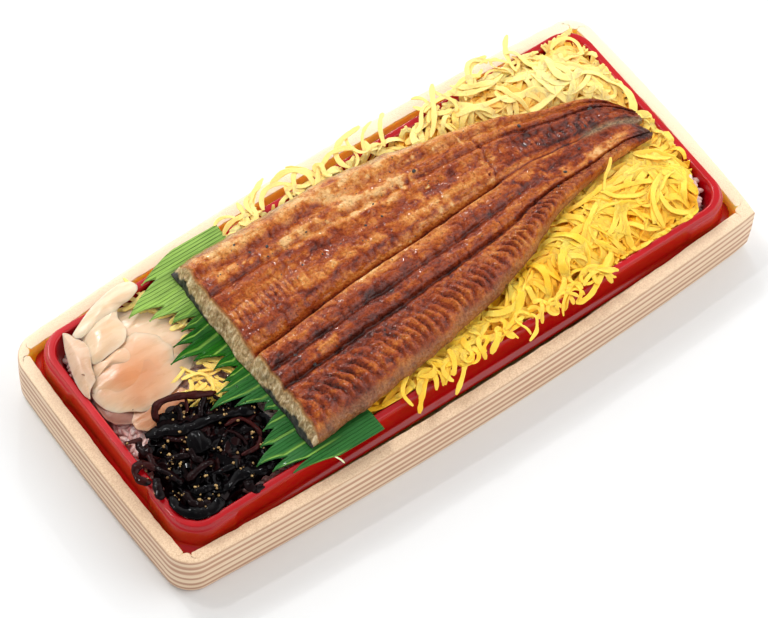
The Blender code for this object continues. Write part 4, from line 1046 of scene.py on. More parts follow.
def creases(x, share, far_half, y):
    """Depth of the cross creases, 0 to 1, and height of what swells between them, 0 to 1. On the
    near flank the lines lean towards the tail as they run outwards, and rounded lobes lie between
    them; on the far half the lines are bowed and patchy. A net of wrinkles, deepest where smooth
    noise crosses zero, covers the rest."""
    out = np.clip((0.40 - share) / 0.26, -0.4, 1.0)
    phase = 0.16 * waves(x, y, 3.0, 51) + 0.3 * waves(x, y * 0.4, 9.0, 52)
    leaning = segments(x) - (2 * out - out ** 2)
    phase = phase + np.where(far_half, x / 2.5 + 4.4 * (share - 0.7) ** 2, leaning)
    swell = np.abs(np.sin(phase * math.pi)) ** 0.55
    flank = ease((share - 0.13 + 0.09 * swell) / 0.06) * ease((0.44 - share) / 0.10) * ~far_half
    flank = flank * (1 - 0.45 * ease((x - 55.0) / 25.0)) * (0.85 + 0.3 * waves(x, y, 9.0, 58))
    wrinkle = 1 - np.clip(np.abs(waves(x * 0.8, y * 1.15, 4.2, 55, 2)) * 3.0, 0, 1)
    fine = 1 - np.clip(np.abs(waves(x, y, 2.2, 56, 2)) * 3.0, 0, 1)
    inside = ease((share - 0.03) / 0.06) * ease((0.97 - share) / 0.04)
    wrinkle = np.clip(0.8 * wrinkle + 0.4 * fine, 0, 1) * (1 - 0.6 * flank) * inside
    patch = ease(0.35 + 0.9 * waves(x, y, 13.0, 54))
    start = ease((-28.0 - x) / 8.0) + 1.4 * ease((x - 60.0) / 8.0) * ease((100.0 - x) / 6.0)
    ribs = (1 - swell) * bell(share, 0.7, 0.1) * np.clip(0.2 * patch + 0.9 * start, 0, 1.4) * far_half
    comb = (1 - swell) * (0.5 + 0.5 * ease((x - 40.0) / 20.0)) * bell(share, 0.47, 0.06) * ~far_half
    return (1 - swell) * flank + ribs + comb + 0.55 * wrinkle, swell * flank


def eel_plan(u, share, far_half):
    """Plan of the eel: straight across from an outer edge (share 0) to the groove (share 1); both
    halves end in a rounded lobe at the tail, and the cut runs a little askew."""
    x = EEL_CUT_X + (EEL_TAIL_X - EEL_CUT_X) * u
    ragged = 0.35 * waves(x, np.where(far_half, 50.0, 0.0), 5.0, 41) * (1 - u ** 8)
    edge = np.where(far_half, np.interp(x, *FAR_LINE) + ragged, np.interp(x, *NEAR_LINE) - ragged)
    y = edge + (np.interp(x, *GROOVE_LINE) + 0.25 * waves(x, 0 * x, 6.0, 43) - edge) * share
    near_lobe = 3.3 * share ** 1.2 + 1.6 * bell(share, 0.0, 0.1)
    back = np.where(far_half, 2.2 * bell(share, 0.0, 0.12), near_lobe) * tail_end(u) ** 1.5
    askew = 0.5 * waves(y, 0 * y, 7.0, 44) * np.clip(1 - u / 0.02, 0, 1)
    return x + askew - back, y


def tail_end(u):
    """0 along the eel, rising to 1 over its last stretch."""
    return np.clip((u - 0.93) / 0.07, 0, 1)


def tail_fade(x, marked, far_half):
    """1 where the lengthwise ridges keep their height, down to 0.15 on the near half's inner strip,
    which is smooth towards the tail."""
    return 1 - 0.85 * ease((x - 42.0) / 28.0) * ease((marked - 0.56) / 0.06) * ~far_half


def eel_height(x, y, u, share, marked, far_half, crease, lobe):
    """Height of the eel: the part's flank, and the drop into the groove, with the lengthwise ridges
    and lines, the cross creases, crumples and small blisters."""
    thick = EEL_TAIL_THICK + (EEL_THICK - EEL_TAIL_THICK) * (1 - u ** 1.6)
    thick = thick * (1 - 0.35 * tail_end(u))
    flank = np.sin(np.clip(share / 0.17, 0, 1) * math.pi / 2) ** 0.75
    mouth = np.where(far_half, 0.88, 0.955)
    open_groove = 1 - 0.8 * ease((x - 46.0) / 12.0)
    drop = GROOVE_DEPTH * np.clip((share - mouth) / (1 - mouth), 0, 1) ** 1.2 * open_groove
    z = thick * (0.16 + 0.84 * flank) - drop * thick / EEL_THICK
    ridges = np.where(far_half, soft_profile(marked, FAR_RIDGES), soft_profile(marked, NEAR_RIDGES))
    ridges = ridges * np.where(ridges > 0, 1.55, 2.1) * tail_fade(x, marked, far_half)
    body = flank * np.clip((1 - share) / 0.06, 0, 1)
    size = 0.45 + 0.55 * thick / EEL_THICK
    crumple = 0.32 * waves(x, y * 1.3, 7.0, 53)
    blister = 0.3 * np.clip(waves(x, y, 2.4, 59, 2) - 0.45, 0, 1)
    crack_x = 54.0 + 1.5 * waves(y, 0 * y, 5.0, 57) - 2.0 * ease((share - 0.3) / 0.5)
    crack = -0.9 * bell(x, crack_x, 0.45) * far_half
    crack = crack * ease((share - 0.22) / 0.1) * ease((0.95 - share) / 0.06)
    return z + size * body * (ridges - 0.95 * crease + 0.95 * lobe + crumple + blister + crack), crack


def eel_tones(x, y, u, marked, far_half, crease, crack):
    """How browned each place is: a profile across each half, darker in creases, lines and towards
    the tail, with the far half's outer ridge lighter in its middle; and where grey skin shows."""
    broad, patch = waves(x, y, 18.0, 61), waves(x * 0.6, y * 1.5, 6.0, 63)
    browned = np.where(far_half, soft_profile(marked, FAR_BROWN), soft_profile(marked, NEAR_BROWN))
    browned = 0.37 + (browned - 0.40) * tail_fade(x, marked, far_half)
    near_tail = 0.34 * ease((x - 97.0) / 12.0) - 0.08 * ease((x - 55.0) / 25.0)
    tail = np.where(far_half, 0.16 * ease((x - 58.0) / 18.0), near_tail)
    ridge = 0.10 * (bell(marked, 0.66, 0.08) + bell(marked, 0.86, 0.07)) * ~far_half
    ridge = ridge * ease((6.0 - x) / 30.0)
    browned = browned + 0.34 * crease - 0.25 * crack + tail + 0.06 * broad + 0.08 * patch + ridge
    ragged = 1 + 0.5 * waves(x, y, 2.6, 67)
    for middle_x, middle_y, long, wide, change in BROWN_SPOTS:
        away = np.hypot((x - middle_x) / long, (y - middle_y) / wide)
        browned = browned + 0.68 * change * ease(1.5 - ragged * away)
    reach = np.where(far_half, 0.12 - 0.07 * ease((x - 20.0) / 30.0), 0.10)
    reach = reach * (1 + 0.4 * waves(x, y, 5.0, 65))
    skin = ease(1.4 * (1 - marked / reach)) * np.where(far_half, 1.0, 0.75)
    skin = skin * (1 - 0.7 * ease((x - 70.0) / 15.0))
    gap = y - np.interp(x, *GROOVE_LINE)
    lobes = ease((x - 84.0) / 8.0) * bell(gap, 0.2, 1.2) + 0.4 * bell(x, 112.0, 3.0) * ~far_half
    return np.clip(browned, 0, 1), np.clip(skin * 0.7 + lobes, 0, 1)


def eel_surface():
    """The grid over the eel's top: its points, shares, tones and foot heights."""
    rows, half_columns = 352, 112
    t = np.linspace(0, 1, half_columns)
    share = t - 0.045 * np.sin(2 * math.pi * t)
    u, share = np.meshgrid(np.linspace(0, 1, rows), np.append(share, share[-2::-1]), indexing="ij")
    far = np.broadcast_to(np.arange(2 * half_columns - 1) >= half_columns, u.shape)
    x, y = eel_plan(u, share, far)
    marked = marked_share(x, share, far)
    crease, lobe = creases(x, marked, far, y)
    foot = EEL_FOOT_Z + 1.3 * np.clip(1 - share / 0.12, 0, 1)
    height, crack = eel_height(x, y, u, share, marked, far, crease, lobe)
    browned, skin = eel_tones(x, y, u, marked, far, crease, crack)
    return np.stack([x, y, foot + height], -1), u, foot, browned, skin


# On the cut face: places along Y, and how far down it the dark skin begins
SKIN_LINE = ((-43, -38, -25, -12, -5, 8, 18, 30, 38, 41),
             (0.72, 0.58, 0.66, 0.9, 1.1, 1.1, 0.9, 0.68, 0.55, 0.62))


def make_eel():
    """The eel: a fine grid over its top, walls down from its rim (the cut end is a slanting face of
    flaky flesh), and a flat underside."""
    top, u, foot, browned, skin = eel_surface()
    rows, columns = u.shape
    index = np.arange(rows * columns).reshape(rows, columns)
    loop = np.concatenate([index[:-1, 0], index[-1, :-1], index[:0:-1, -1], index[0, :0:-1]])
    count, rim, cut = len(loop), top.reshape(-1, 3)[loop], np.isin(loop, index[0])
    slant = CUT_SLANT * np.clip(1 - u.ravel()[loop] / 0.12, 0, 1)
    low = np.column_stack([rim[:, 0] - slant, rim[:, 1], foot.ravel()[loop]])
    skin_line = np.interp(rim[:, 1], *SKIN_LINE)
    walls, flat = [], np.zeros(rows * columns)
    depth, dark, flesh = [flat], [flat], [flat]
    for step in np.linspace(0, 1, 15)[1:]:
        row = rim + (low - rim) * step
        _, y, z = row.T
        ragged = skin_line + 0.13 * waves(y, z, 2.2, 75)
        flake = np.abs(waves(y + 0.4 * z, z * 0.45, 2.6, 71)) + 0.5 * waves(y, z, 5.0, 73)
        row[:, 0] -= cut * 0.5 * flake * math.sin(step * math.pi) ** 0.5
        walls.append(row)
        depth.append(np.full(count, step))
        dark.append(cut * ease((step - ragged) / 0.1))
        flesh.append(cut * ease(step * 7))
    walls.append(low * (0.96, 0.93, 1.0))
    walls[-1][:, 2] = EEL_FOOT_Z
    depth.append(np.ones(count))
    dark.append(cut * 1.0)
    flesh.append(cut * 1.0)
    levels = len(walls)
    ring = np.vstack([loop, (rows * columns + np.arange(levels * count)).reshape(levels, count)])
    after = np.roll(ring, -1, axis=1)
    wall_faces = np.stack([ring[:-1], ring[1:], after[1:], after[:-1]], -1).reshape(-1, 4)
    wall_browned = np.tile(browned.ravel()[loop], levels)
    wall_skin = np.tile(skin.ravel()[loop] * ~cut, levels)
    put_piece("opened_eel", np.vstack([top.reshape(-1, 3)] + walls),
              np.vstack([grid_quads(rows, columns), wall_faces]), eel_finish(), "eel_grilled", ["eel"],
              [ring[-1]], flesh=np.concatenate(flesh), dark=np.concatenate(dark), depth=np.concatenate(depth),
              browned=np.append(browned, wall_browned), skin=np.append(skin, wall_skin))
    make_char(top.reshape(-1, 3))


# Darker and paler places on the eel: X, Y, half length, half width, change
BROWN_SPOTS = np.array((
    (-34, 29.6, 18, 2.2, 0.28), (-1, 23.2, 24, 3, -0.4), (18, 7.6, 10, 3, -0.36),
    (-44, -37.6, 14, 4, 0.42), (85, -0.8, 20, 3.5, 0.62), (33, 13.4, 9, 3, 0.4),
    (27, -26.8, 9, 3.5, 0.26), (-53, -28.9, 6, 4, 0.3), (-45, 33.8, 14, 3.2, -0.42),
    (-10, 35.4, 12, 3, -0.34), (22, 32.8, 9, 3, -0.3), (10, 20.6, 9, 2.4, -0.24),
    (-7.5, -2.9, 9, 2.6, -0.34), (39, -15.4, 9, 3, -0.34), (-52, 27, 5, 3, -0.3), (-6, 8.2, 9, 3, -0.28),
    (14, 12.6, 10, 2.4, 0.32), (-40, 0, 12, 2.2, 0.24), (61.5, 13.8, 7, 2.6, 0.28),
    (-13, -34, 9, 3, 0.22), (-42, -17.7, 7, 3, -0.34), (-28, 7.2, 7, 2.6, -0.3),
    (19, 18.8, 7, 2.6, -0.26), (-21, 26.3, 7, 2.2, -0.28), (40, 7.8, 12, 2.6, -0.26),
    (-39, -8.4, 8, 2.6, -0.36), (-1, 11.6, 12, 2, 0.22), (65, -5, 7, 2.4, 0.24), (-23, -23.6, 9, 3, 0.24),
    (-15, 14.6, 9, 2.4, 0.24), (-49, 6.2, 7, 3, 0.22), (20.4, 1.7, 8, 2, 0.22),
    (-56.5, 32.7, 4, 2.4, 0.3), (-48, 31.5, 4, 2.2, 0.24), (-38, 31.8, 5, 2, 0.2),
    (-28, 31.5, 4, 2, 0.18), (-14, 32, 6, 2.2, 0.26), (-19, 17, 3, 2.4, 0.26), (22, 30, 5, 3.2, 0.22),
    (33, 29, 6, 2.6, 0.16), (13, 8, 11, 1.4, 0.2), (3, 31.5, 9, 4, -0.3), (12, 24, 14, 2.2, -0.22),
    (8, 12, 10, 2.4, -0.12), (-50, 6.5, 5, 2.4, -0.14), (-52, 23.5, 6, 1.6, -0.12),
    (30, 8.5, 9, 2.6, -0.16), (44, 6.5, 7, 2.2, -0.14), (-39, -28, 5, 2.4, 0.3), (-53, -18.5, 6, 3, 0.24),
    (-38, -10.5, 4, 3.4, 0.22), (-56, -13.5, 3.4, 2.4, 0.22), (-12, -9.5, 7, 2.6, 0.2),
    (-30, -21.5, 7, 1.8, 0.16), (9, -11.5, 7, 2.6, 0.16), (26, -9.5, 6, 2.2, 0.14),
    (40, -4, 6, 2.4, 0.16), (13, -4.5, 9, 2.6, -0.14), (66, -1.5, 8, 2.4, -0.12), (88, -5, 9, 3, -0.16),
    (81, 8, 8, 3.6, 0.3), (97, 8, 5, 3.4, 0.3), (70, 12.5, 7, 2.2, 0.18), (92, 3.6, 6, 1.4, 0.2),
    (60, 22, 7, 2.2, -0.1), (106, -7.5, 4, 2.4, 0.2), (54, 12, 5, 4, -0.1)))
# Flecks that the photograph shows: X, Y and length
CHAR = np.array((
    (-44, 32.5, 1), (-46, 31, 0.8), (-41, 27.3, 1.1), (-35, 25.6, 1.3), (-36.6, 22.5, 0.8),
    (-20, 22.8, 0.9), (-29, 12.5, 1.1), (-20.8, 12.5, 0.8), (-13, 12.2, 0.8), (-1.2, 13.5, 1.2),
    (6, 13.2, 1), (6.5, 19, 0.9), (26.4, 22.1, 1.6), (-48.5, -21.3, 1.9), (-52.5, -15.6, 1.4),
    (-38.5, -20.3, 0.9), (-43, -29.6, 0.9), (-21, -24.7, 1), (-56, 25.4, 0.7), (-47.6, 25.4, 0.7),
    (-34, 9, 0.6), (69.4, 17.1, 1.5), (95.6, 8.9, 1.9), (89.4, 3.9, 1.5), (52.3, -6, 1.1),
    (71.6, -7.6, 1.5), (81.9, -2.6, 1.2), (44.4, -13.2, 0.8), (65.5, -11.2, 0.8)))


def make_char(top):
    """Flecks of char on the eel: the bigger ones where the photograph shows them, and a scatter of
    fine ones; each is a flat lens set on the surface's nearest point."""
    rng = np.random.default_rng(33)
    fine = np.column_stack([scattered(rng, (-60, 105), (-34, 36), 150), rng.uniform(0.3, 0.65, 150)])
    flecks = np.vstack([CHAR + (1.3, 1.4, 0.0), fine])
    nearest = [np.argmin((top[:, 0] - x) ** 2 + (top[:, 1] - y) ** 2) for x, y, _ in flecks]
    put_beads("char_flecks", rng, top[nearest], flecks[:, 2:3], 0.8, 0.35, 0.0,
              seed_finish("char", (40, 34, 32), (12, 10, 10)), "eel_grilled", "eel")


# Leaf

LEAF_TIPS = np.array((
    (-75.3, 43.6), (-86.4, 35.4), (-81.2, 30.3), (-75, 25.3), (-74.2, 20.9), (-80.3, 17.1), (-85, 11.9),
    (-77.5, 8.8), (-73.7, 2.1), (-73.7, -3.8), (-78.6, -6.6), (-84.2, -10.6), (-76.4, -14.1),
    (-68.7, -21), (-73.9, -27.4), (-78.4, -32.2), (-83.9, -37.4), (-80.9, -42.4), (-75.3, -46.7)))
LEAF_NOTCHES = np.array((
    (-58, 49.6), (-69.8, 42.8), (-73.1, 32.6), (-70.3, 28), (-66.4, 23.1), (-69.2, 19.2), (-73.4, 15),
    (-73.1, 9.5), (-67, 4.2), (-65.9, -1.6), (-71.7, -5.2), (-74.2, -7.9), (-68.7, -13.2), (-65.9, -18.8),
    (-64.8, -23.8), (-70.3, -28.8), (-73.7, -33.8), (-72.6, -40.2), (-66.4, -45.4), (-58, -50.3)))
# The share across each tooth at which its midrib runs
LEAF_RIBS = np.array((0.86, 0.84, 0.5, 0.5, 0.5, 0.5, 0.55, 0.5, 0.5, 0.5, 0.5, 0.72, 0.62, 0.5, 0.5, 0.75,
                      0.78, 0.8, 0.9))
DROPS = np.array((
    (-59, -45.8), (-57.5, -46.8), (-56.8, -48.4), (-60.6, -46.9), (-52, -45), (-47.5, -46.5),
    (-63.5, -44), (-66.8, -33), (-69.5, -30.5), (-71, -8.4), (-70.2, -3.5), (-55.5, -47.6)))
LEAF_SHRED = ((-60.6, -48.6, 30.9), (-59.5, -50, 30.9), (-58.4, -51.6, 30), (-57.8, -52.8, 28.8),
              (-57, -53.4, 28.2))


def make_leaf():
    """The cut leaf: straight lines run from its right edge to a zigzag of notches, and on from there
    to the tips. A tooth's place is (1 - b) times its base plus b times its tip, bowed sideways by
    b (1 - b), so that it curves like a thorn."""
    across, along, count = 11, 24, len(LEAF_TIPS)
    a = np.linspace(0, 1, across)
    base = LEAF_NOTCHES[:-1, None] + np.diff(LEAF_NOTCHES, axis=0)[:, None] * a[:, None]
    lines = np.vstack([base[:, :-1].reshape(-1, 2), LEAF_NOTCHES[-1:]])
    slack = np.linspace(0, 1, along)[:, None]
    end_y = np.linspace(LEAF_FAR + 0.9, LEAF_NEAR - 0.2, len(lines))
    body_x = LEAF_RIGHT + (lines[:, 0] - LEAF_RIGHT) * slack
    body_y = end_y + (lines[:, 1] - end_y) * slack ** 1.5
    b = np.linspace(0, 0.985, along)[:, None, None, None]
    teeth = base[None] * (1 - b) + LEAF_TIPS[None, :, None] * b
    bow = 0.55 * (1 - 0.25 * np.abs(a * 2 - 1))[:, None] * (b * (1 - b))
    teeth[..., 1] += (bow * -np.diff(LEAF_NOTCHES[:, 1])[:, None, None])[..., 0]
    teeth = np.moveaxis(teeth, 1, 0)
    faces = [grid_quads(along, len(lines))[:, ::-1]]
    faces += [grid_quads(along, across)[:, ::-1] + along * (len(lines) + k * across) for k in range(count)]
    x, y = np.append(body_x, teeth[..., 0]), np.append(body_y, teeth[..., 1])
    lane = np.append(np.tile(np.append(np.tile(a[:-1], count), 0.0), along), np.tile(a, along * count))
    tooth = np.append(np.tile(np.append(np.repeat(np.arange(count), across - 1), 0), along),
                      np.repeat(np.arange(count), along * across))
    middle = LEAF_RIBS[tooth]
    rib = 0.7 * bell(lane, middle, 0.06) * ease((-52 - x) / 10)
    fold = 0.55 * (np.abs(lane - middle) - 0.2) * ease((-58 - x) / 8)
    z = leaf_height(x, y) + LEAF_THICK / 2 - 0.15 + fold + 0.1 * waves(x, y, 14.0, 81)
    light = ease((y - 20) / 12) * 0.8 + 0.1 * waves(x, y, 12.0, 83)
    # Towards the near end: bluish green, partly the leaf's own tone and partly a painted wet reflection.
    blue = ease((-2 - y) / 10) * 0.85 + 0.1 * waves(x, y, 9.0, 85)
    points = np.column_stack([x, y, z])
    leaf = put_piece("cut_leaf", points, np.vstack(faces), leaf_finish(), "leaf_green", ["leaf"],
                     outward=False, rib=rib, light=np.clip(light, 0, 1), blue=np.clip(blue, 0, 1))
    change_mesh(leaf.data, lambda work: bmesh.ops.remove_doubles(work, verts=work.verts, dist=0.01 * MM))
    shell = leaf.modifiers.new("thickness", "SOLIDIFY")
    shell.thickness = LEAF_THICK * MM
    shell.offset = -1.0
    make_drops(points)


def make_drops(leaf):
    """Drops of water on the leaf's near end, and a pale shred that hangs over the rim beside it."""
    rng = np.random.default_rng(5)
    wet = spotted_finish("water_drop", 0.5, (0.9, 0.95, 0.9, 1.0), (1.0, 1.0, 1.0, 1.0), (0.0, 0.05),
                         Transmission_Weight=1.0, IOR=1.33, Specular_IOR_Level=0.5)
    place, _ = resting(leaf, DROPS, 1.2)
    size = rng.uniform(0.7, 1.5, (len(place), 1))
    put_beads("leaf_drops", rng, place + (0, 0, 0.1), size, 0.85, 0.45, 0.0, wet, "leaf_green", "leaf")
    path = through(LEAF_SHRED, 16, False)
    points, faces, _ = carried(path[None], 0.9 * tapered(16, 0.4, 0.2), 0.25, 0.3, RIBBON)
    pale = spotted_finish("pale_shred", 0.6, (206, 216, 158), (232, 236, 196), (0.3, 0.45),
                          Specular_IOR_Level=0.4)
    put_piece("leaf_shred", points, faces, pale, "leaf_green", ["leaf"])


# Ginger

GINGER = (  # piece, node, level on the mound, pinkness all over and in the middle, redness, outline
    ("slice_low_left", "ginger_low_left", 0.3, 0.3, 0, 0.85,
     ((-114.9, 15.7), (-114.1, 12.2), (-111.5, 9.2), (-107.4, 6.9), (-103.9, 4.5), (-106.2, 1.9),
      (-108.6, 0.7), (-110.9, 1.9), (-113.7, 3.9), (-115.4, 7.4), (-115.4, 11.9))),
    ("slice_low_right", "ginger_low_right", 0.9, 0.85, 0, 0.1,
     ((-104.6, 6), (-98.9, 5.8), (-92.4, 6.1), (-86.9, 3.4), (-82.2, -3.6), (-84.7, -7.5), (-93.3, -8.1),
      (-98.6, -6.8), (-102.8, -5.8), (-106, -4.5), (-109, -1.4), (-108.5, 2.3))),
    ("slice_back", "ginger_back", 1.2, 0.08, 0.75, 0,
     ((-78.2, 7.6), (-72.6, 10.5), (-69.7, 16.9), (-70.6, 25.5), (-75.1, 34.2), (-80.3, 40.2),
      (-87, 41.2), (-94.1, 36.9), (-98.1, 31.2), (-98.5, 22.8), (-92.9, 10.8), (-84.8, 6.9))),
    ("slice_front", "ginger_front", 2, 0.12, 0.7, 0.05,
     ((-114, 18.1), (-114.2, 15.2), (-113, 10.9), (-110.1, 7.6), (-106.4, 5.4), (-103.1, 2.7),
      (-99.7, 1.6), (-96.3, 2.6), (-92.7, 2.7), (-88.3, 3.8), (-83.9, 5.5), (-78.3, 8.3), (-76, 12.4),
      (-77.4, 19.7), (-81.5, 26.4), (-90.6, 30.4), (-100.3, 29.9), (-109.3, 24.8))),
    ("slice_front_fold", "ginger_front", 2.55, 0.15, 0.85, 0,
     ((-113, 19.2), (-112.5, 17.7), (-108, 15.1), (-102.7, 10.8), (-96.9, 7.9), (-91.7, 7.9),
      (-86.3, 9.6), (-82.7, 12.6), (-79.5, 18.4), (-81.4, 25.4), (-87.3, 30.7), (-96.4, 30.5),
      (-102.7, 27.9), (-109.3, 24.1))),
    ("slice_curl", "ginger_curl", 3.1, 0.2, 0.35, 0,
     ((-106.9, 28.2), (-103.1, 27.7), (-99.1, 28.2), (-95.7, 28.6), (-93.3, 27.5), (-91.7, 25.2),
      (-91.9, 22.6), (-93.2, 21.1), (-95.3, 20.7), (-97.4, 21.6), (-100.2, 23.5), (-102.2, 24.4),
      (-105.1, 23.9), (-108.2, 22.8), (-108.5, 25.1))),
    ("slice_oval", "ginger_oval", 4.2, 0.12, 0, 0,
     ((-86.7, 41.6), (-88.3, 39), (-88, 35.1), (-89, 32.2), (-91.5, 29.6), (-94.6, 28.7), (-99.1, 28.2),
      (-103.2, 27.5), (-106.1, 28.2), (-105.8, 32.8), (-103.7, 38.2), (-102.8, 41.8), (-97.3, 45.3),
      (-89.2, 45.7), (-85, 43.5))),
    ("slice_left", "ginger_left", 4.9, 0.1, 0, 0.3,
     ((-107.3, 45.2), (-106, 44), (-105, 41.7), (-103.7, 39), (-102.8, 37.2), (-102.9, 34.5),
      (-104.2, 31.8), (-106.5, 28), (-107.5, 25), (-108.4, 22.6), (-111, 21.4), (-112.9, 19.8),
      (-114.4, 17.2), (-115.3, 19.6), (-115.1, 23.7), (-114.3, 28), (-112.4, 33.9), (-110.6, 38.7))),
    ("slice_top", "ginger_top", 5.3, 0, 0, 0,
     ((-105.2, 42.2), (-101.3, 44.4), (-95.6, 47.1), (-90.8, 48.7), (-85.3, 49.8), (-79.9, 50.1),
      (-76.1, 48.7), (-75, 46.1), (-76.1, 44.4), (-78.8, 43.2), (-81.4, 42.5), (-83.7, 42.6), (-86.5, 42),
      (-88.7, 41.2), (-92.4, 41.2), (-96.3, 40.8), (-99.6, 39.8), (-102.9, 39.3), (-105, 40.5))),)
MARKS = np.array(((-111.9, 25.7), (-111.2, 25.2), (-105.8, 5.5)))


def make_slice(name, node, level, pink, blush, red, outline, material):
    """A thin slice: rings run from its middle over the top to its rim and back below. The rim goes
    smoothly through the outline; the slice follows the mound at its own level, sags by the square
    of the share of the way out, and thins towards its rim."""
    rim = np.array(outline)
    for _ in range(3):
        rim = seen_at(outline, ginger_floor(*rim.T) + level * SLICE_STEP)
    closed = np.vstack([rim, rim[:1]])
    length = np.concatenate([[0], np.cumsum(np.hypot(*np.diff(closed, axis=0).T))])
    place = np.linspace(0, length[-1], 180, endpoint=False)
    edge = np.column_stack([softened(np.interp(place, length, line), 7, 2.0, "wrap") for line in closed.T])
    middle = edge.mean(axis=0)
    out = np.append(np.linspace(0.02, 0.9, 22), [0.95, 0.985])
    share = np.concatenate([out, [1.0], out[::-1]])[:, None]
    side = np.repeat([1.0, 0.0, -1.0], [24, 1, 24])[:, None]
    x, y = (middle[k] + share * (edge[:, k] - middle[k]) for k in (0, 1))
    fold = waves(x + level * 19, y, 9.0, 93, 2)
    z = ginger_floor(x, y) + level * SLICE_STEP + 0.5 * fold - (0.5 + 0.3 * level) * share ** 2
    z = z + SLICE_THICK * 0.5 * (1 - 0.45 * share ** 3) * np.sqrt(np.clip(1 - share ** 6, 0, 1)) * side
    points, faces, ends = loft(list(np.stack([x, y, z], -1)))
    pink = pink + blush * np.exp(-((x + 96) ** 2 + (y - 14) ** 2) / 180) + 0.12 * fold
    # The rim share carries a painted highlight on the rim; the redness carries painted red light from the
    # tray and painted shade.
    put_piece(name, points, faces, material, "ginger_pickled", [node], ends,
              rim=np.broadcast_to(ease((share - 0.8) / 0.2), x.shape).ravel(),
              pink=np.clip(pink, 0, 1).ravel(), red=np.clip(red + 0.1 * fold, 0, 1).ravel())
    return points


def make_ginger():
    """The eight slices and a fold of the front one, and three brown marks on them."""
    material = ginger_finish()
    points = np.vstack([make_slice(*row, material) for row in GINGER])
    place, _ = resting(points, MARKS)
    rng, size = np.random.default_rng(17), np.array([[1.1], [0.8], [0.7]])
    put_beads("ginger_marks", rng, place, size, 0.5, 0.2, 0.0,
              seed_finish("brown_mark", (146, 96, 60), (96, 58, 38)), "ginger_pickled", "ginger_left")


# Kelp

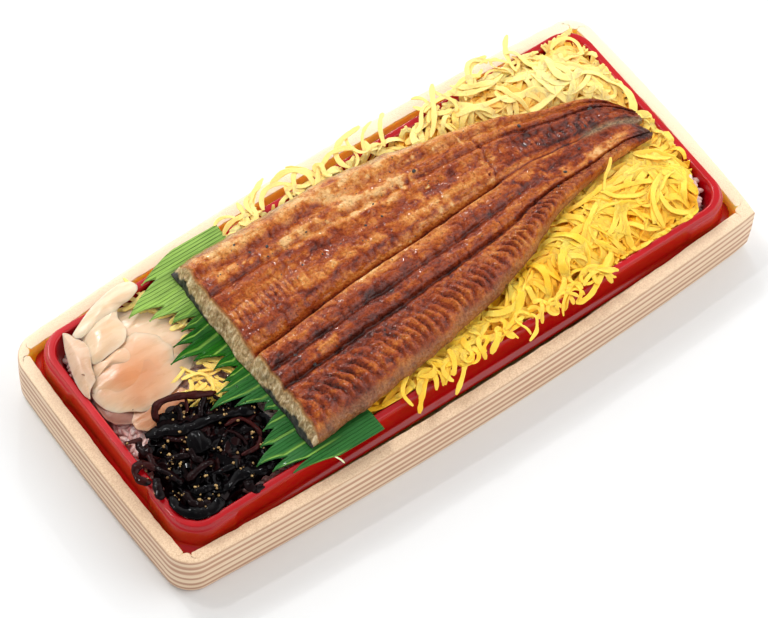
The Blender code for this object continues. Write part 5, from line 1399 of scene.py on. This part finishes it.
KELP_PATHS = (  # width, thickness, how brown, then X, Y and Z of points read off the photograph
    (3, 2.6, 0.9, ((-101.4, -6.2, 28), (-101.1, -2.3, 29.8), (-99.5, 0.8, 31.3), (-96.7, 2.2, 32.2),
      (-92.9, 1.7, 32.6), (-88.7, 0.2, 32.2), (-85.1, -2.1, 31.4), (-81.7, -4, 30.6), (-79.4, -5.2, 30),
      (-76.2, -5.9, 29))),
    (2.6, 1.8, 0.1, ((-92.1, -1.5, 31), (-92.8, -5.7, 30.4), (-95.2, -8.6, 29.4))),
    (1.2, 1, 0.9, ((-87.5, -0.8, 31.2), (-90.2, -5.7, 30), (-92.9, -6.2, 29.4))),
    (2, 1.5, 0.1, ((-81.2, -4.2, 30.8), (-85.7, -7.1, 30.4), (-88.7, -11.3, 29.8))),
    (1.8, 1.4, 0.1, ((-80.1, -5.5, 30.2), (-78.4, -9.7, 29.6), (-76.7, -13.3, 28.8))),
    (4.8, 2.4, 0, ((-111.4, -6, 29.4), (-108.3, -5.5, 30.2), (-104.1, -7, 31), (-100.1, -8, 31.4),
      (-96.8, -10.6, 31.6), (-92.6, -12.1, 31.6), (-87.7, -12.5, 31.4), (-83, -13.4, 31),
      (-78.5, -15.1, 30.4), (-74.2, -17.2, 29.8), (-70.7, -19.6, 29.2), (-68.8, -22.1, 28.4))),
    (2.2, 1.6, 0.3, ((-104.1, -8.8, 30.8), (-101.6, -11.2, 31), (-99.3, -13.7, 31.2),
      (-95.2, -13.9, 31.4), (-90.9, -15.1, 31.2), (-86.3, -16, 30.8))),
    (8, 3, 0, ((-99.9, -17.2, 30.2), (-97.2, -17.6, 31.2), (-93.7, -18.1, 31.8),
      (-90.3, -20.4, 31.4), (-89, -24.8, 30.2))),
    (1.6, 1.5, 0.9, ((-84.8, -16.3, 30.6), (-83.3, -18.2, 30.6), (-79.8, -17.7, 30.4),
      (-76.9, -18.8, 30), (-75.3, -22.4, 29.8), (-74.7, -26.7, 29.6), (-76.5, -29.6, 29.6),
      (-79, -31.3, 29.8), (-83.4, -30.9, 30.2), (-87.5, -30.1, 30.4))),
    (1.5, 1.2, 0.2, ((-84.2, -19.4, 30.6), (-81.9, -22.2, 30.4), (-80.9, -25.9, 30.2),
      (-81.5, -29.3, 30))),
    (3, 1.6, 0.6, ((-112, -20, 31), (-113, -16.1, 31.6), (-114.4, -13.9, 31.9), (-117, -13.9, 32),
      (-118.8, -15.6, 32), (-118.8, -18.9, 32), (-117, -21, 32), (-114.5, -20.6, 31.6))),
    (4, 1.8, 0.1, ((-111.6, -16.6, 31), (-110.6, -19.6, 31.4), (-109.2, -22.1, 31.2),
      (-108.5, -25.5, 30.8), (-107.3, -29, 30.2))),
    (3.6, 1.5, 0.1, ((-113.3, -20.4, 31.4), (-115, -23.2, 31.8), (-116, -25.8, 31.8),
      (-117.4, -29.8, 31.4))),
    (2.9, 1.7, 0.2, ((-106.9, -28.9, 30.2), (-105.4, -27.9, 30.8), (-102, -27, 31.2),
      (-96.9, -26.3, 31.2), (-93, -27, 30.6))),
    (2.7, 1.7, 0, ((-99.3, -31.4, 30.2), (-96.3, -31.3, 30.6), (-93.3, -31.6, 30.6),
      (-88.4, -32.7, 30.2))),
    (4.8, 2, 0, ((-99.5, -39, 29), (-96.5, -37.6, 29.8), (-92, -36.4, 30.2), (-86.2, -36.9, 30.2),
      (-82.6, -39.8, 29.8), (-82.2, -43, 29.2))),
    (3.8, 1.5, 0.1, ((-88.7, -38.8, 29.8), (-90, -42, 29.8), (-88.9, -44.6, 29.6), (-84.9, -44.4, 29.4))),
    (2.2, 1.4, 0.1, ((-107.3, -16.4, 31), (-103.3, -18.5, 31.2), (-98.8, -21, 31.2))),
    (2.4, 1.5, 0.1, ((-98.6, -17.7, 31.4), (-98.3, -20.2, 31.6), (-99, -22.7, 31.4), (-96.5, -25.4, 31))),
    (4.6, 2, 0, ((-113.4, -28, 29.8), (-113.8, -30.9, 30), (-114.6, -34.2, 30), (-113.2, -37.8, 30),
      (-109.6, -41, 30), (-104.9, -42, 29.8), (-98.2, -40.2, 29.4))),
    (3.4, 1.8, 0.1, ((-108.2, -29.6, 29.8), (-109.5, -33.1, 29.8), (-109.2, -36.6, 29.6),
      (-106.5, -39.2, 29.4), (-102.5, -39, 29.2))),
    (3, 1.8, 0, ((-107.8, -32.3, 29.6), (-103.8, -34, 30), (-99.5, -35.2, 30), (-96, -34.4, 30))),
    (2.8, 1.6, 0.2, ((-110.4, -5.3, 29.6), (-112.1, -8.2, 29.8), (-111.5, -11, 30.2),
      (-108.2, -12.1, 30.6))),
    (2.6, 1.1, 0.8, ((-115.6, -4, 31), (-113.4, -4.8, 30.4), (-110.9, -5.6, 29.6), (-109, -6.5, 29))),
    (2.6, 1.6, 0.4, ((-110.8, -11.5, 30.6), (-111.5, -15.9, 31), (-110.8, -20.2, 31.2))),)
KELP_SEEDS = np.array((
    (-97.2, -10.6), (-96.5, -5.8), (-80.7, -13.8), (-83.4, -16.1), (-77.9, -19.4), (-98.3, -15.8),
    (-99.2, -17.8), (-103, -12.2), (-105.7, -12.7), (-106.1, -14.8), (-105.7, -16.2), (-89.5, -24.3),
    (-89.2, -25.1), (-85.9, -29.2), (-85.5, -29.5), (-106.7, -20.5), (-104, -21), (-104.4, -21.4),
    (-95.8, -28.5), (-99.4, -30.3), (-100.3, -30.5), (-89.3, -32.1), (-88, -35.1), (-83.4, -35.6),
    (-86.7, -39.8), (-105.4, -31.1), (-99.5, -35.2), (-99.2, -36.6), (-100.7, -38.5), (-107.3, -36.8),
    (-106.7, -36.6), (-102.4, -41.9), (-103.6, -38.2), (-111.6, -31.1), (-113.3, -31.7), (-114.3, -28.4),
    (-116.3, -26.1), (-111.7, -23.2), (-115.3, -16.5), (-114.1, -13.6), (-116.5, -17.5), (-91.2, -3.5),
    (-91.9, -6.3), (-93, -7.9), (-70.9, -18), (-76.8, -25.2), (-76.4, -25.5), (-77.5, -31),
    (-114.7, -4.7)))


def make_kelp():
    """The simmered kelp: a dark core below the part's surface, glossy strips that curl over it, the
    strips and loops that the photograph shows one by one, and pale seeds."""
    around = np.linspace(0, 2 * math.pi, 120, endpoint=False)
    aim_x, aim_y = np.cos(around), np.sin(around)
    reach = 1 / kelp_share(KELP_MIDDLE[0] + aim_x, KELP_MIDDLE[1] + aim_y)
    rings = []
    for share, rise in ((0.4, 0.0), (0.84, 0.0), (0.95, 0.0), (0.96, 1.6), (0.93, None), (0.85, None),
                        (0.72, None), (0.55, None), (0.35, None), (0.15, None)):
        x, y = KELP_MIDDLE[0] + aim_x * reach * share, KELP_MIDDLE[1] + aim_y * reach * share
        top = kelp_height(x, y) - 1.8 + 0.7 * waves(x, y, 3.0, 101)
        rings.append(np.column_stack([x, y, top if rise is None else rice_height(x, y) + 0.9 + rise]))
    material = kelp_finish()
    points, faces, ends = loft(rings)
    put_piece("kelp_core", points, faces, material, "kelp_black", ["kelp"], ends, brown=0.0)

    rng = np.random.default_rng(14)
    count, stations = 300, 22
    plan = wander(rng, scattered(rng, (-115, -68), (-42, 0), count), rng.uniform(-3.1, 3.1, count),
                  rng.uniform(7, 20, count), rng.uniform(0.6, 2.8, count), stations)
    room = np.where((plan[..., 0] < -100) | (plan[..., 1] < -33), 1.07, 0.98)
    plan = plan[(kelp_share(plan[..., 0], plan[..., 1]) < room).all(axis=1)]
    count = len(plan)
    x, y = plan[..., 0], plan[..., 1]
    arch = arched(stations) * rng.uniform(0, 1.2, (count, 1))
    z = kelp_height(x, y) + rng.uniform(-1.8, 0.1, (count, 1)) + arch + 0.4 * waves(x, y, 5.0, 103)
    z = over_rim(x, y, np.minimum(z, LEAF_Z - 1.0 + 3.0 * np.clip((-86.0 - x) / 6.0, 0, 1)))
    roll = rng.normal(0, 0.6, (count, 1)) + rng.normal(0, 0.9, (count, 1)) * np.linspace(-1, 1, stations)
    roll = roll + 0.7 * waves(x, y, 3.2, 104)
    lumps = 1 + 0.25 * waves(x, y, 2.6, 105)
    wide = rng.uniform(1.8, 5.2, (count, 1)) * tapered(stations, 0.5, 0.15) * lumps
    thick = rng.uniform(0.4, 0.9, (count, 1)) * lumps
    loose, faces, strip = carried(np.stack([x, y, z], -1), wide, thick, roll, FLAT)
    put_piece("kelp_strips", loose, faces, material, "kelp_black", ["kelp"], sharp=50,
              brown=np.clip(rng.normal(0.0, 0.3, count), 0, 1)[strip])

    stations = 48
    paths = np.array([through(row, stations) for *_, row in KELP_PATHS])
    wide, thick, brown = np.array([row[:3] for row in KELP_PATHS]).T
    shape = tapered(stations, 0.5, 0.1) * (1 + 0.2 * waves(paths[..., 0], paths[..., 1], 2.4, 107))
    roll = 0.15 + 0.5 * waves(paths[..., 0], paths[..., 1], 5.0, 108)
    loops, faces, strip = carried(paths, wide[:, None] * shape, thick[:, None] * 0.75 * shape, roll, RIBBON)
    put_piece("kelp_loops", loops, faces, material, "kelp_black", ["kelp"], brown=brown[strip])
    make_seeds(rng, np.vstack([loose, loops]))


def make_seeds(rng, kelp):
    """Pale seeds on the kelp, where the photograph shows them and in loose groups: a seed lies on the
    highest point of the kelp that is seen at its place."""
    shown = KELP_SEEDS
    group = shown[rng.integers(0, len(shown), 56)] + rng.normal(0, 1.2, (56, 2))
    spread = scattered(rng, (-112, -72), (-42, -6), 8)
    size = np.append(rng.uniform(0.8, 1.25, len(shown)), rng.uniform(0.35, 0.7, 64))
    place, kept = resting(kelp, np.vstack([shown, group, spread]))
    put_beads("kelp_seeds", rng, place + (0, 0, 0.15), size[kept][:, None], 0.85, 0.7, 0.3,
              seed_finish("pale_seed", (186, 152, 92), (116, 80, 38)), "kelp_black", "kelp")


set_camera()
set_stage()
make_box()
make_tray()
make_rice()
make_egg()
make_eel()
make_leaf()
make_ginger()
make_kelp()
